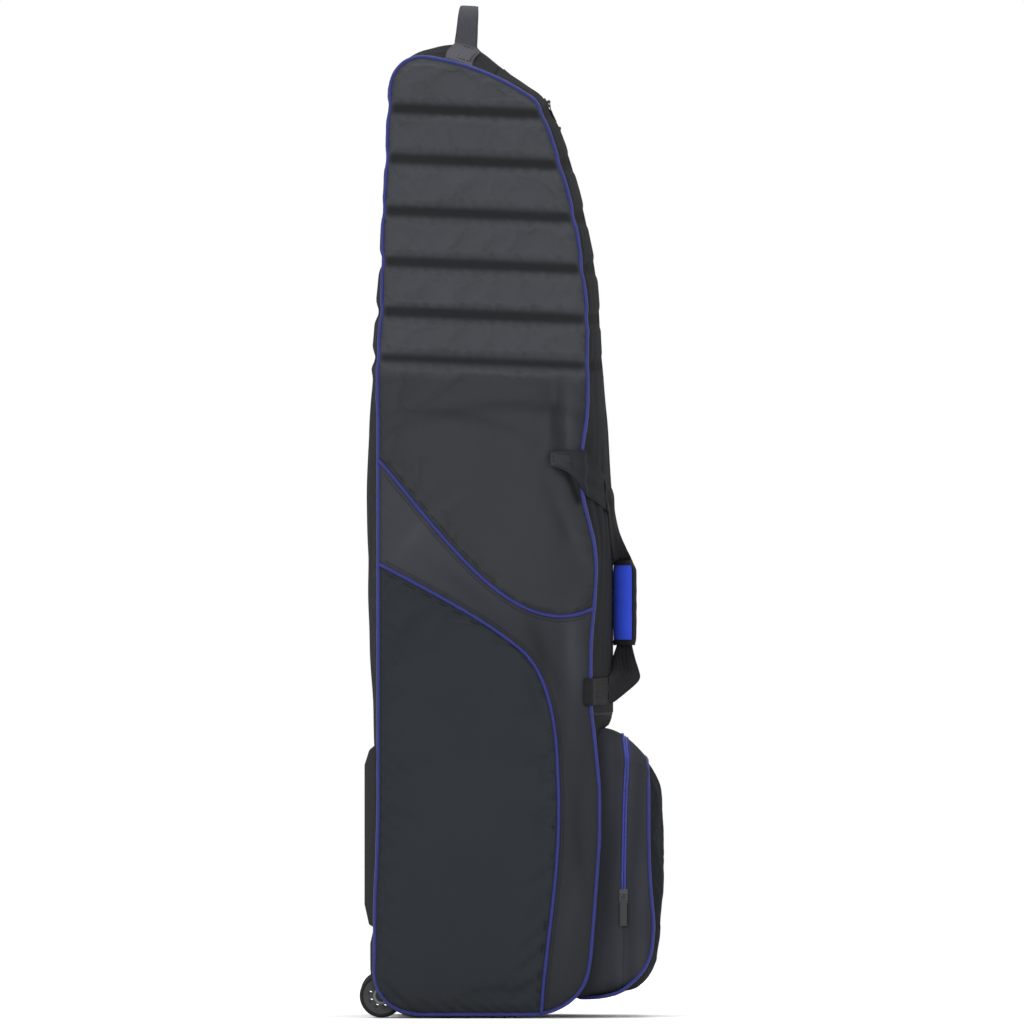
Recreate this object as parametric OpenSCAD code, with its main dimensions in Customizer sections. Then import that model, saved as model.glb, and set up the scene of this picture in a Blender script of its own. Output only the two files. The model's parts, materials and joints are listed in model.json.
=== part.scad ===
// Soft travel bag on two wheels for a set of golf clubs, standing upright.
// +X is the front (carry handle and pocket), +Z is up, -Y is the near side.
// The origin is on the ground, below the middle of the bag's box.

/* [Bag body] */
// Distance between the two side seams
seam_w = 300; // [292:1:304]
// Front seam, ahead of the origin
front_x = 112; // [111:0.5:113]
// Back seam, behind the origin
back_x = 179; // [178:0.5:180]
// Height of the base seam
base_z = 5; // [4.8:0.1:5.2]
// Height where the straight front ends and the taper begins
bend_z = 830; // [825:1:835]
// Radius of the long front curve
front_r = 1070; // [1050:5:1090]
// Radius of the shoulder at the front of the top
shoulder_r = 40; // [38:1:42]
// Radius of the sloping top
top_r = 330; // [325:1:335]
// Radius of the corner at the back of the top
crest_r = 42; // [40:1:44]
// Radius of the corner above the wheels
heel_r = 60; // [58:1:62]
// Radius of the front corner of the base
toe_r = 85; // [80:1:90]
// Thickness of the padded side panels
panel_t = 8; // [6:0.5:9]
// Thickness of the outer cloth with its lining and padding
cloth_t = 4; // [3.5:0.5:4]
// Diameter of the piping in the seams
piping_d = 6; // [5:0.5:6]

/* [Stiffening] */
// Thickness of the foam inside the upper sides
foam_t = 8; // [5:1:8]
// Thickness of the stiffening boards
board_t = 3; // [2:0.5:3]

/* [Wheels] */
// Diameter of a wheel over its tyre
wheel_d = 58.8; // [58.8]
// Width of a wheel
wheel_w = 24; // [22:1:24]
// Distance between the middles of the two wheels
track = 232; // [230:1:234]
// Wheel axle behind the origin
axle_x = 173; // [172:0.5:174]
// Diameter of the axle bolts
axle_d = 8; // [8]
// Number of holes round each hub
hub_holes = 9; // [6:1:10]

/* [Rails and feet] */
// Width of a skid rail
rail_w = 14; // [12:1:16]
// Height of the skid rails' lower end
rail_z = 118.5; // [118.5:0.5:120]
// Height of the skid rails' upper end
rail_top = 365; // [350:1:370]
// How far the rails stand off the back seam
rail_out = 17; // [15:0.5:17]
// Length of a base foot
foot_l = 20; // [18:1:24]

/* [Pocket] */
// Width of the front pocket
pocket_w = 256; // [250:1:260]
// Wall thickness of the pocket
pocket_t = 3; // [3]
// Line of the pocket's zip, ahead of the origin
pocket_zip_x = 151; // [150:0.5:152]
// Height of the fold on which the pocket's lid opens
lid_z = 124; // [122:1:126]

/* [Straps] */
// Width of the webbing
webbing_w = 38; // [34:1:40]
// Thickness of the webbing
webbing_t = 2.2; // [1.8:0.1:2.2]
// Diameter of the padded grip
grip_d = 32; // [30:1:33]
// Height of the grip's lower end
grip_z = 498; // [496:1:500]
// Length of the grip
grip_l = 115; // [110:1:116]

/* [Quality] */
// Facets of a full circle
round_fn = 48; // [32:8:96]

/* [Hidden] */
$fn = round_fn;

// Clearance between separate pieces
gap = 0.3;
half_w = seam_w / 2;
edge = piping_d / 2 + gap;
half_gusset = half_w - edge;

// Angles at which the arcs of the side outline hand over to each other
front_to = 21;
shoulder_to = 56;
top_to = 82;
crest_to = 178;

// Height at which the main zip ends, above the pocket
zip_foot_z = 405;

function dir(a) = [cos(a), sin(a)];
c_front = [front_x - front_r, bend_z];
c_shoulder = c_front + (front_r - shoulder_r) * dir(front_to);
c_top = c_shoulder + (shoulder_r - top_r) * dir(shoulder_to);
c_crest = c_top + (top_r - crest_r) * dir(top_to);
c_heel = [heel_r - back_x, base_z + heel_r];
c_toe = [front_x - toe_r, base_z + toe_r];

// Points [x, z, normal x, normal z] along an arc in the side view
function arc_run(c, r, from, to, steps, skip = 0) =
    [for (i = [skip:steps]) let (a = from + (to - from) * i / steps) concat(c + r * dir(a), dir(a))];

// The side outline, up the front, over the top, down the back and along the base
outline = concat(
    [[front_x, zip_foot_z, 1, 0]],
    arc_run(c_front, front_r, 0, front_to, 14),
    arc_run(c_shoulder, shoulder_r, front_to, shoulder_to, 5, 1),
    arc_run(c_top, top_r, shoulder_to, top_to, 6, 1),
    arc_run(c_crest, crest_r, top_to, crest_to, 10, 1),
    [[-back_x, bend_z, -1, 0]],
    arc_run(c_heel, heel_r, 180, 270, 9),
    arc_run(c_toe, toe_r, 270, 360, 9)
);
function leg(i) = norm([for (k = [0:1]) outline[(i + 1) % len(outline)][k] - outline[i][k]]);

// The same points with the distance along the seam in front
seam = [for (i = 0, s = 0; i <= len(outline); s = s + leg(i % len(outline)), i = i + 1)
    concat([s], outline[i % len(outline)])];
function column(k) = [for (q = seam) [q[0], q[k]]];
seam_x = column(1);
seam_z = column(2);
seam_nx = column(3);
seam_nz = column(4);
seam_len = seam[len(seam) - 1][0];

// Distances along the seam where one piece of the gusset meets the next
s_bend = bend_z - zip_foot_z;
s_shoulder = s_bend + front_r * front_to * PI / 180;
s_top = s_shoulder + shoulder_r * (shoulder_to - front_to) * PI / 180;
s_handle = s_top + 92;
s_zip_end = s_top + 55;
s_crest = s_top + top_r * (top_to - shoulder_to) * PI / 180;
s_back = s_crest + crest_r * (crest_to - top_to) * PI / 180;
s_toe = seam_len - (zip_foot_z - c_toe.y) - toe_r * PI / 2;
s_heel = s_toe - (c_toe.x - c_heel.x) - heel_r * PI / 2;
housing_top = c_heel.y + 52.5;
s_housing = s_heel - 52.5;
housing_front = c_heel.x + 6.5;
s_base = s_toe - (c_toe.x - housing_front);

// How far the middle of the gusset stands out of the seam, along the seam
zip_swell = 11;
swell = [
    [0, 24], [275, 24], [330, 19], [390, 15], [s_bend, zip_swell], [s_top, zip_swell],
    [s_handle - 41, 20], [s_handle, 27], [s_handle + 34, 20], [s_crest, 9], [s_crest + 30, 3],
    [s_back, 2], [s_back + 268, 3], [s_back + 393, 7], [s_back + 498, 12], [s_back + 548, 13],
    [s_back + 648, 12], [s_back + 748, 9], [s_back + 848, 2.5], [s_heel, 1], [s_base, 0],
    [s_toe, 0], [seam_len - 16, 1.5], [seam_len, 24]
];

// A point of the gusset: s along the seam, y across it, out from its face
function skin(s, y, out = 0) =
    let (c = lookup(s, swell) * (1 - pow(y / half_gusset, 2)) + out)
    [lookup(s, seam_x) + c * lookup(s, seam_nx), y, lookup(s, seam_z) + c * lookup(s, seam_nz)];
function stations(from, to, pitch) =
    let (n = max(1, ceil((to - from) / pitch))) [for (i = [0:n]) from + (to - from) * i / n];
function bezier(p, t) =
    pow(1 - t, 3) * p[0] + 3 * t * pow(1 - t, 2) * p[1] + 3 * t * t * (1 - t) * p[2] + pow(t, 3) * p[3];
function curve(p, n, skip = 0) = [for (i = [skip:n]) bezier(p, i / n)];

// The two decorative seams across each side
trim_upper = curve([[-back_x, 747], [-94, 651], [12, 504], [front_x, 549]], 14);
trim_lower = concat(
    curve([[-back_x, 608], [-120, 582], [-30, 555], [20, 497]], 8),
    curve([[20, 497], [55, 457], [67, 400], [64, 330]], 7, 1),
    curve([[64, 330], [70, 204], [48, 119], [41, base_z]], 8, 1)
);

// Corners [x, y, cut] of a convex outline, moved inwards by d and rounded by their cut
function unit(v) = v / norm(v);
function flat(q) = [q[0], q[1]];
function side_of(p, i, j) = unit(flat(p[j]) - flat(p[i]));
function inward(u) = [-u.y, u.x];
function moved(p, i, d) =
    let (n = len(p), a = inward(side_of(p, (i + n - 1) % n, i)), b = inward(side_of(p, i, (i + 1) % n)))
    flat(p[i]) + d * (a + b) / (1 + a * b);
function soft_outline(p, d = 0) =
    [for (i = [0:len(p) - 1])
        let (
            n = len(p),
            c = moved(p, i, d),
            cut = max(p[i][2] - d, 0.5),
            a = c - cut * side_of(p, (i + n - 1) % n, i),
            b = c + cut * side_of(p, i, (i + 1) % n)
        )
        for (t = [0:0.2:1]) (1 - t) * (1 - t) * a + 2 * t * (1 - t) * c + t * t * b];

// Zip, sliders and pulls
zip_half = 7.7;
zip_slot = 0.7;
zip_t = 3;
zip_out = 0.3;
slider_gap = 0.5;
lower_slider_a = 19.5;
upper_slider_a = 31.5;
pull_pin_d = 2;
pin_up = 4.8;

// Wheel housing
axle_z = wheel_d / 2;
housing_half = 143;
well_r = wheel_d / 2 + 4;
well_w = wheel_w + 6;
well_wall = 3;
housing_out = 9;
housing_base_out = 4;
boss_r = 8;
recess = 9;
bearing_r = 11;
bearing_w = 7;
tyre_t = 5;

// Pocket corners in the side, front and top views
pocket_x = front_x + 2;
pocket_out = axle_x + wheel_d / 2;
pocket_side = [
    [pocket_x, 22, 0], [166, 27, 38], [pocket_out, 97, 38], [pocket_out, 268, 58], [184, 348, 20],
    [pocket_x, 388, 0]
];
pocket_front = [
    [-pocket_w / 2, 18, 45], [pocket_w / 2, 18, 45], [pocket_w / 2, 390, 40], [-pocket_w / 2, 390, 40]
];
plan_w = pocket_w / 2 + 1;
pocket_plan = [
    [pocket_x - 1, -plan_w, 0], [188, -plan_w, 22], [204, 60 - plan_w, 40],
    [204, plan_w - 60, 40], [188, plan_w, 22], [pocket_x - 1, plan_w, 0]
];
pocket_zip_foot = 151;
pocket_slider_z = 163;

// Carry handle
grip_x = 153;
hinge_y = -74;
strap_lift = 1;
upper_seam_z = 726;
lower_seam_z = 436;
handle_x = c_top.x + 100;

// A closed shell between two grids of points, each a list of rows
module shell(outer, inner) {
    m = len(outer);
    n = len(outer[0]);
    function id(k, i, j) = (k * m + i) * n + j;
    points = [for (grid = [outer, inner]) for (row = grid) for (p = row) p];
    skins = [for (i = [0:m - 2]) for (j = [0:n - 2]) each [
        [id(0, i, j), id(0, i + 1, j), id(0, i + 1, j + 1), id(0, i, j + 1)],
        [id(1, i, j), id(1, i, j + 1), id(1, i + 1, j + 1), id(1, i + 1, j)]
    ]];
    ends = [for (j = [0:n - 2]) each [
        [id(0, 0, j), id(0, 0, j + 1), id(1, 0, j + 1), id(1, 0, j)],
        [id(0, m - 1, j + 1), id(0, m - 1, j), id(1, m - 1, j), id(1, m - 1, j + 1)]
    ]];
    sides = [for (i = [0:m - 2]) each [
        [id(0, i + 1, 0), id(0, i, 0), id(1, i, 0), id(1, i + 1, 0)],
        [id(0, i, n - 1), id(0, i + 1, n - 1), id(1, i + 1, n - 1), id(1, i, n - 1)]
    ]];
    polyhedron(points, concat(skins, ends, sides), convexity = 6);
}

// A strip of the gusset from s0 to s1 along the seam and y0 to y1 across it
module strip(rows, y0, y1, across, out = 0, thick = cloth_t) {
    ys = [for (j = [0:across]) y0 + (y1 - y0) * j / across];
    shell(
        [for (s = rows) [for (y = ys) skin(s, y, out)]],
        [for (s = rows) [for (y = ys) skin(s, y, out - thick)]]
    );
}

// A tube along points [x, z] in the plane y, with their normals
module tube(points, normals, y, d, sides = 8, closed = false) {
    n = len(points);
    rings = [for (i = [0:n - 1]) for (k = [0:sides - 1])
        let (a = 360 * (k + 0.5) / sides, q = points[i] + d / 2 * cos(a) * normals[i])
        [q.x, y + d / 2 * sin(a), q.y]];
    wall = [for (i = [0:n - (closed ? 1 : 2)]) for (k = [0:sides - 1])
        let (i2 = (i + 1) % n, k2 = (k + 1) % sides)
        [i * sides + k, i2 * sides + k, i2 * sides + k2, i * sides + k2]];
    caps = closed ? [] : [
        [for (k = [0:sides - 1]) k],
        [for (k = [sides - 1:-1:0]) (n - 1) * sides + k]
    ];
    polyhedron(rings, concat(wall, caps), convexity = 6);
}

// Normals of an open run of points in the side view, to the left of its travel
function normals_of(p) =
    [for (i = [0:len(p) - 1])
        let (u = unit(p[min(i + 1, len(p) - 1)] - p[max(i - 1, 0)])) [u.y, -u.x]];

// An outline in the side view, extruded from y0 to y1
module slab(y0, y1) {
    translate([0, y1, 0]) rotate([90, 0, 0]) linear_extrude(y1 - y0) children();
}
module far_side() {
    mirror([0, 1, 0]) children();
}
module both_sides() {
    children();
    far_side() children();
}
module block(low, high) {
    translate(low) cube(high - low);
}
// A round bar or tube along Y, at [x, z], from y0 to y1
module rod_y(x, z, y0, y1, r, bore = 0) {
    translate([x, y1, z]) rotate([90, 0, 0]) difference() {
        cylinder(h = y1 - y0, r = r);
        if (bore > 0) translate([0, 0, -1]) cylinder(h = y1 - y0 + 2, r = bore);
    }
}

// Side panels
module side_plate(inset, y0, y1) {
    slab(y0, y1) polygon([for (q = outline) [q[0] - inset * q[2], q[1] - inset * q[3]]]);
}
// The part of the side above a decorative seam, shifted by d along the seam's normal
module above(line, d) {
    n = normals_of(line);
    last = len(line) - 1;
    slab(-half_w - 20, -half_w + 20) polygon(concat(
        [[-400, line[0].y], line[0] + [-10, 0] - d * n[0]],
        [for (i = [1:last - 1]) line[i] - d * n[i]],
        [line[last] + [10, 0] - d * n[last], [400, line[last].y], [400, 1500], [-400, 1500]]
    ));
}
// The part of the side in front of the lower decorative seam
module ahead(line, d) {
    n = normals_of(line);
    last = len(line) - 1;
    slab(-half_w - 20, -half_w + 20) polygon(concat(
        [[-400, line[0].y], line[0] + [-10, 0] - d * n[0]],
        [for (i = [1:last - 1]) line[i] - d * n[i]],
        [line[last] + [0, -10] - d * n[last], [line[last].x, -100], [400, -100], [400, 1500], [-400, 1500]]
    ));
}
module panel() {
    side_plate(edge, -half_w - panel_t, -half_w);
}
module side_panel_upper_near() {
    color("dimgray") intersection() {
        panel();
        above(trim_upper, edge);
    }
}
module side_panel_middle_near() {
    color("dimgray") difference() {
        intersection() {
            panel();
            ahead(trim_lower, edge);
        }
        above(trim_upper, -edge);
    }
}
module side_panel_lower_near() {
    color([0.16, 0.17, 0.18]) difference() {
        panel();
        ahead(trim_lower, -edge);
    }
}
module foam_near() {
    color("lightgray") intersection() {
        side_plate(12, -half_w + gap, -half_w + gap + foam_t);
        block([-400, -half_w, 560], [400, 0, 1400]);
    }
}
module piping_near() {
    color("royalblue") tube(
        [for (q = outline) [q[0], q[1]]], [for (q = outline) [q[2], q[3]]],
        -half_w, piping_d, closed = true
    );
}
module trim_tube(line) {
    inner = [for (i = [1:len(line) - 2]) line[i]];
    tube(inner, normals_of(inner), -half_w - panel_t + 2, piping_d);
}
module trim_piping_near() {
    color("royalblue") {
        trim_tube(trim_upper);
        trim_tube(trim_lower);
    }
}

// Gusset, from the shoulder round the back to the base and the pocket
module back_panel() {
    color([0.2, 0.21, 0.22])
        strip(stations(s_back + 1, s_housing - 1, 50), -half_gusset, half_gusset, 8);
}
module top_panel() {
    rows = concat(stations(s_zip_end + 1, s_crest, 14), stations(s_crest, s_back, 7));
    color([0.2, 0.21, 0.22])
        strip([for (i = [0:len(rows) - 1]) if (i == 0 || rows[i] > rows[i - 1]) rows[i]],
            -half_gusset, half_gusset, 8);
}
gusset_rows = concat(
    stations(s_bend + 1, s_shoulder, 28),
    stations(s_shoulder + 5, s_top, 5),
    stations(s_top + 14, s_zip_end, 14)
);
module gusset_near() {
    color([0.2, 0.21, 0.22]) strip(gusset_rows, -half_gusset, -zip_half - gap, 5);
}
module lower_front_panel() {
    rows = concat(stations(s_toe + 1, s_toe + toe_r * PI / 2, 12), [seam_len - 16, seam_len - 1]);
    color([0.2, 0.21, 0.22]) strip(rows, -half_gusset, half_gusset, 6);
}
module base_panel() {
    color([0.14, 0.14, 0.15]) block(
        [housing_front + gap, -half_gusset, base_z], [c_toe.x, half_gusset, base_z + cloth_t]);
}
module base_board() {
    color("tan") block(
        [housing_front + 6, -half_gusset + 8, base_z + cloth_t + gap],
        [c_toe.x - 4, half_gusset - 8, base_z + cloth_t + gap + board_t]);
}
module back_board() {
    color("tan") block(
        [-back_x + cloth_t + gap, -half_gusset + 8, housing_top + 4],
        [-back_x + cloth_t + gap + board_t, half_gusset - 8, bend_z]);
}
module zip_upper() {
    color([0.1, 0.1, 0.11]) both_sides()
        strip(gusset_rows, -zip_half, -zip_slot, 1, zip_out, zip_t);
}

// Wheel housing, axles and wheels
housing_outer = concat(
    [[-back_x - 5, housing_top], [-back_x - housing_out, housing_top - 18]],
    [for (i = [0:12]) c_heel
        + (heel_r + housing_out + (housing_base_out - housing_out) * i / 12) * dir(180 + 90 * i / 12)],
    [[housing_front, base_z - housing_base_out]]
);
module wheel_housing() {
    inner = [for (i = [0:12]) c_heel + (heel_r - cloth_t) * dir(270 - 90 * i / 12)];
    y_in = -track / 2 + well_w / 2;
    y_out = -track / 2 - well_w / 2;
    color([0.12, 0.12, 0.13]) difference() {
        union() {
            slab(-housing_half, housing_half) polygon(concat(
                housing_outer, [[housing_front, base_z + cloth_t]],
                inner, [[-back_x + cloth_t, housing_top]]));
            intersection() {
                both_sides() rod_y(-axle_x, axle_z, y_out - well_wall, y_in + well_wall, well_r + well_wall);
                slab(-housing_half, housing_half) polygon(concat(
                    housing_outer, [[c_heel.x + 60, base_z], [c_heel.x + 60, housing_top]]));
            }
            both_sides() rod_y(-axle_x, axle_z, y_out - well_wall, y_in + well_wall, boss_r);
        }
        both_sides() rod_y(-axle_x, axle_z, y_out, y_in, well_r);
        both_sides() rod_y(-axle_x, axle_z, y_out - 10, y_in + 10, axle_d / 2 + 0.05);
        both_sides() rod_y(-axle_x, axle_z, -housing_half - 1, y_out - well_wall, boss_r);
        both_sides() rod_y(-axle_x, axle_z, y_in + well_wall, y_in + well_wall + recess, boss_r);
    }
}
module axle_bolts() {
    y_out = -track / 2 - well_w / 2 - well_wall;
    y_in = -track / 2 + well_w / 2 + well_wall;
    color("silver") both_sides() {
        rod_y(-axle_x, axle_z, y_out - 0.1, y_in + 7, axle_d / 2);
        rod_y(-axle_x, axle_z, y_out - 3.6, y_out - 0.1, 7);
    }
}
module axle_nuts() {
    y_in = -track / 2 + well_w / 2 + well_wall;
    color("silver") both_sides() translate([-axle_x, y_in + 6, axle_z]) rotate([90, 0, 0]) difference() {
        cylinder(h = 5.8, r = 7, $fn = 6);
        translate([0, 0, -1]) cylinder(h = 8, r = axle_d / 2 + 0.05);
    }
}
module axle_spacers() {
    length = (well_w - wheel_w) / 2 - gap;
    color("silver") both_sides() for (side = [-1, 1])
        rod_y(-axle_x, axle_z,
            -track / 2 + side * (well_w / 2 - length / 2) - length / 2,
            -track / 2 + side * (well_w / 2 - length / 2) + length / 2,
            6.5, axle_d / 2 + 0.05);
}
module tyre_near() {
    r = wheel_d / 2;
    h = wheel_w / 2;
    color([0.05, 0.05, 0.05]) translate([-axle_x, -track / 2, axle_z]) rotate([90, 0, 0])
        rotate_extrude() polygon([
            [r - tyre_t, -h], [r - 2.5, -h], [r - 0.6, -h + 2.5], [r, -h + 6],
            [r, h - 6], [r - 0.6, h - 2.5], [r - 2.5, h], [r - tyre_t, h]]);
}
module hub_near() {
    h = wheel_w / 2;
    color([0.25, 0.25, 0.26]) translate([-axle_x, -track / 2, axle_z]) rotate([90, 0, 0]) difference() {
        translate([0, 0, -h]) cylinder(h = wheel_w, r = wheel_d / 2 - tyre_t);
        translate([0, 0, -h - 1]) cylinder(h = wheel_w + 2, r = 6);
        for (side = [-1, 1])
            translate([0, 0, side * (h - bearing_w / 2) - bearing_w / 2]) cylinder(h = bearing_w, r = bearing_r);
        for (i = [0:hub_holes - 1]) rotate([0, 0, 360 * i / hub_holes + 7])
            translate([bearing_r + 4.2, 0, -h - 1]) cylinder(h = wheel_w + 2, r = 3);
    }
}
module bearings_near() {
    color("silver") for (side = [-1, 1]) {
        y = -track / 2 + side * (wheel_w / 2 - bearing_w / 2);
        rod_y(-axle_x, axle_z, y - bearing_w / 2, y + bearing_w / 2, bearing_r, axle_d / 2 + 0.05);
    }
}

// Skid rails on the back and feet under the base
rail_y = -84;
rail_screws_z = [rail_z + 50, rail_top - 50];
module rail_near() {
    inner_x = -back_x - 1.8;
    outer_x = -back_x - rail_out;
    color([0.12, 0.12, 0.13]) difference() {
        slab(rail_y - rail_w / 2, rail_y + rail_w / 2) polygon([
            [inner_x, rail_z], [inner_x, rail_top], [outer_x + 6, rail_top - 8],
            [outer_x, rail_top - 27], [outer_x, rail_z + 33], [outer_x + 6, rail_z + 6]]);
        for (z = rail_screws_z) translate([outer_x - 1, rail_y, z]) rotate([0, 90, 0]) {
            cylinder(h = 40, r = 2.05);
            cylinder(h = 4, r = 4.05);
        }
    }
}
module rail_screws() {
    color("silver") both_sides() for (z = rail_screws_z)
        translate([-back_x - rail_out + 0.5, rail_y, z]) rotate([0, 90, 0]) {
            cylinder(h = 2.5, r = 4);
            translate([0, 0, 2.5]) cylinder(h = 12, r = 2);
        }
}
module base_feet() {
    x0 = -12;
    y0 = -127;
    top = base_z - gap;
    color([0.1, 0.1, 0.1]) both_sides() union() {
        block([x0, y0, 2.4], [x0 + foot_l, y0 + 26, top]);
        for (i = [0:2]) block(
            [x0 + i * (foot_l - 4) / 2, y0, 0], [x0 + i * (foot_l - 4) / 2 + 4, y0 + 26, 2.4]);
    }
}

// Front pocket
module pocket_form(d) {
    intersection() {
        slab(-pocket_w, pocket_w) polygon(soft_outline(pocket_side, d));
        rotate([90, 0, 90]) linear_extrude(300) polygon(soft_outline(pocket_front, d));
        linear_extrude(500) polygon(soft_outline(pocket_plan, d));
    }
}
module pocket_skin() {
    difference() {
        pocket_form(0);
        pocket_form(pocket_t);
        block([0, 8 - pocket_w / 2, 45], [pocket_x + pocket_t + 1, pocket_w / 2 - 8, 365]);
    }
}
module pocket_tub() {
    color([0.17, 0.18, 0.19]) intersection() {
        pocket_skin();
        union() {
            block([0, -400, 0], [pocket_zip_x - 3.2, 400, 500]);
            block([0, -400, 0], [pocket_zip_x + 3, 400, pocket_zip_foot - gap]);
            block([0, -400, 0], [400, 400, lid_z - 0.2]);
        }
    }
}
module pocket_lid() {
    color([0.17, 0.18, 0.19]) intersection() {
        pocket_skin();
        block([pocket_zip_x + 3.2, -400, lid_z + 0.2], [400, 400, 500]);
    }
}
module pocket_zip(x0, x1) {
    color("royalblue") intersection() {
        pocket_skin();
        block([x0, -400, pocket_zip_foot], [x1, 400, 500]);
    }
}
pocket_edge = concat(
    curve([[190, lid_z], [190, 200], [190, 290], [184.5, 343]], 8)
);
pocket_edge_low = concat(
    [[190, lid_z - 4]],
    curve([[190, 112], [188, 60], [164, 33], [pocket_x + 6, 27]], 8)
);
module pocket_edge_tube(line) {
    tube(line, normals_of(line), -pocket_w / 2 - 2.9, 5);
}
module pocket_tub_piping() {
    color("royalblue") both_sides() pocket_edge_tube([for (i = [0:len(pocket_edge_low) - 1])
        pocket_edge_low[len(pocket_edge_low) - 1 - i]]);
}
module pocket_lid_piping() {
    color("royalblue") both_sides() pocket_edge_tube([for (q = pocket_edge) q + [0, 1]]);
}

// Front flaps on each side of the open zip
flap_rows = [1, 90, 180, 275, 300, 330, 360, 390, s_bend - 1];
module flap_near() {
    color([0.19, 0.2, 0.21]) strip(flap_rows, -half_gusset, -zip_half - gap, 6);
}
module zip_half_near() {
    color("royalblue") strip(flap_rows, -zip_half, -zip_slot, 1, zip_out, zip_t);
}

// Webbing, given as rows [y, height of the middle, half height, x of the inner face]
module webbing(rows) {
    shell(
        [for (q = rows) [for (k = [1, -1]) [q[3] + webbing_t, q[0], q[1] + k * q[2]]]],
        [for (q = rows) [for (k = [1, -1]) [q[3], q[0], q[1] + k * q[2]]]]
    );
}
function on_flap(y, z, half) =
    [y, z, half, max([for (k = [-1:0.25:1]) skin(z + k * half - zip_foot_z, y).x]) + strap_lift];
function upper_z(y) = upper_seam_z - 56 * (y + half_w) / (hinge_y + half_w);
module flap_strap_near() {
    color([0.08, 0.08, 0.09]) {
        webbing([for (y = [-132:11:-77]) on_flap(y, upper_z(y), 24)]);
        webbing([for (y = [-132:11:-77]) on_flap(y, lower_seam_z + 3, webbing_w / 2)]);
    }
}
handle_start = hinge_y + 2;
module handle_strap_near() {
    top = grip_z + grip_l;
    color([0.08, 0.08, 0.09]) {
        webbing([
            on_flap(handle_start, upper_z(handle_start), 24),
            [-56, top + 44, 21, 137], [-38, top + 32, 17, 143], [-20, top + 22, 13, 148], [-4, top + 12, 9, 151]
        ]);
        webbing([
            on_flap(handle_start, lower_seam_z + 3, webbing_w / 2),
            [-56, grip_z - 56, 18, 139], [-38, grip_z - 50, 17, 154], [-20, grip_z - 36, 14, 168],
            [-10, grip_z - 24, 12, 167], [-4, grip_z - 14, 10, 160]
        ]);
        block([grip_x - 8, -5.5, grip_z - 1.5], [grip_x + 8, -2.5, top + 1.5]);
    }
}
module grip_half(z0, z1, r) {
    intersection() {
        difference() {
            translate([grip_x, 0, z0]) cylinder(h = z1 - z0, r = r);
            translate([grip_x, 0, z0 - 1]) cylinder(h = z1 - z0 + 2, r = 10);
        }
        block([0, -100, 0], [400, -0.2, 1400]);
    }
}
module grip_near() {
    color("mediumblue") grip_half(grip_z, grip_z + grip_l, grip_d / 2);
}
module strap_ends() {
    y1 = -half_w - panel_t - gap;
    color([0.08, 0.08, 0.09]) both_sides() {
        block([45, y1 - webbing_t, 703], [103, y1, 749]);
        block([88, y1 - webbing_t, lower_seam_z - 17], [106, y1, lower_seam_z + 17]);
    }
}

// Loop handle across the top
loop_foot = 1303;
loop_top = 1355;
module top_handle() {
    outer = [[-54, loop_foot, 0], [54, loop_foot, 0], [44, loop_top, 26], [-44, loop_top, 26]];
    taper = [[-5, loop_foot - 1, 0], [5, loop_foot - 1, 0], [17, loop_foot + 14, 3], [13, loop_top + 1, 0],
        [-13, loop_top + 1, 0], [-17, loop_foot + 14, 3]];
    color([0.3, 0.3, 0.31]) intersection() {
        translate([handle_x - 40, 0, 0]) rotate([90, 0, 90]) linear_extrude(80) difference() {
            polygon(soft_outline(outer));
            polygon(soft_outline([
                [-54 + 3.6, loop_foot - 5, 0], [54 - 3.6, loop_foot - 5, 0],
                [44 - 3.6, loop_top - 3.6, 23], [-44 + 3.6, loop_top - 3.6, 23]]));
        }
        translate([handle_x, 0, 0]) slab(-100, 100) polygon(soft_outline(taper));
    }
}
module top_handle_ends() {
    color([0.3, 0.3, 0.31]) both_sides()
        strip(stations(s_handle - webbing_w / 2, s_handle + webbing_w / 2, 8), -138, -56, 4,
            webbing_t + 1, webbing_t);
}

// Zip slider, with the zip's face at x = 0 and the zip running along Z
module slider_form(length) {
    color([0.07, 0.07, 0.07]) union() {
        block([slider_gap, -5.5, -length / 2], [slider_gap + 2.2, 5.5, length / 2]);
        block([-zip_t - 2.8, -5, -length / 2], [-zip_t - 1.3, 5, length / 2]);
        block([-zip_t - 2, -0.4, -3], [slider_gap + 1, 0.4, 3]);
        for (side = [-1, 1]) block(
            [slider_gap + 1, min(side * 2.6, side * 4.2), -2],
            [pin_up + 1.6, max(side * 2.6, side * 4.2), 2]);
        rod_y(pin_up, 0, -4, 4, pull_pin_d / 2);
    }
}
module pull_form(length) {
    color("silver") difference() {
        union() {
            rod_y(pin_up, 0, -2.2, 2.2, 2.1);
            block([pin_up - 0.9, -2.2, -7], [pin_up + 0.9, 2.2, -1.6]);
            block([pin_up - 0.9, -4.5, -length], [pin_up + 0.9, 4.5, -6]);
        }
        rod_y(pin_up, 0, -3, 3, pull_pin_d / 2 + 0.08);
    }
}
// Places a slider or pull on the zip at angle a of an arc of the seam
module on_arc(c, r, a) {
    reach = r + zip_swell + zip_out;
    translate([c.x + reach * cos(a), 0, c.y + reach * sin(a)]) rotate([0, -a, 0]) children();
}
module on_pocket() {
    translate([pocket_zip_x, -pocket_w / 2, pocket_slider_z]) rotate([0, 0, -90]) children();
}

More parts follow.
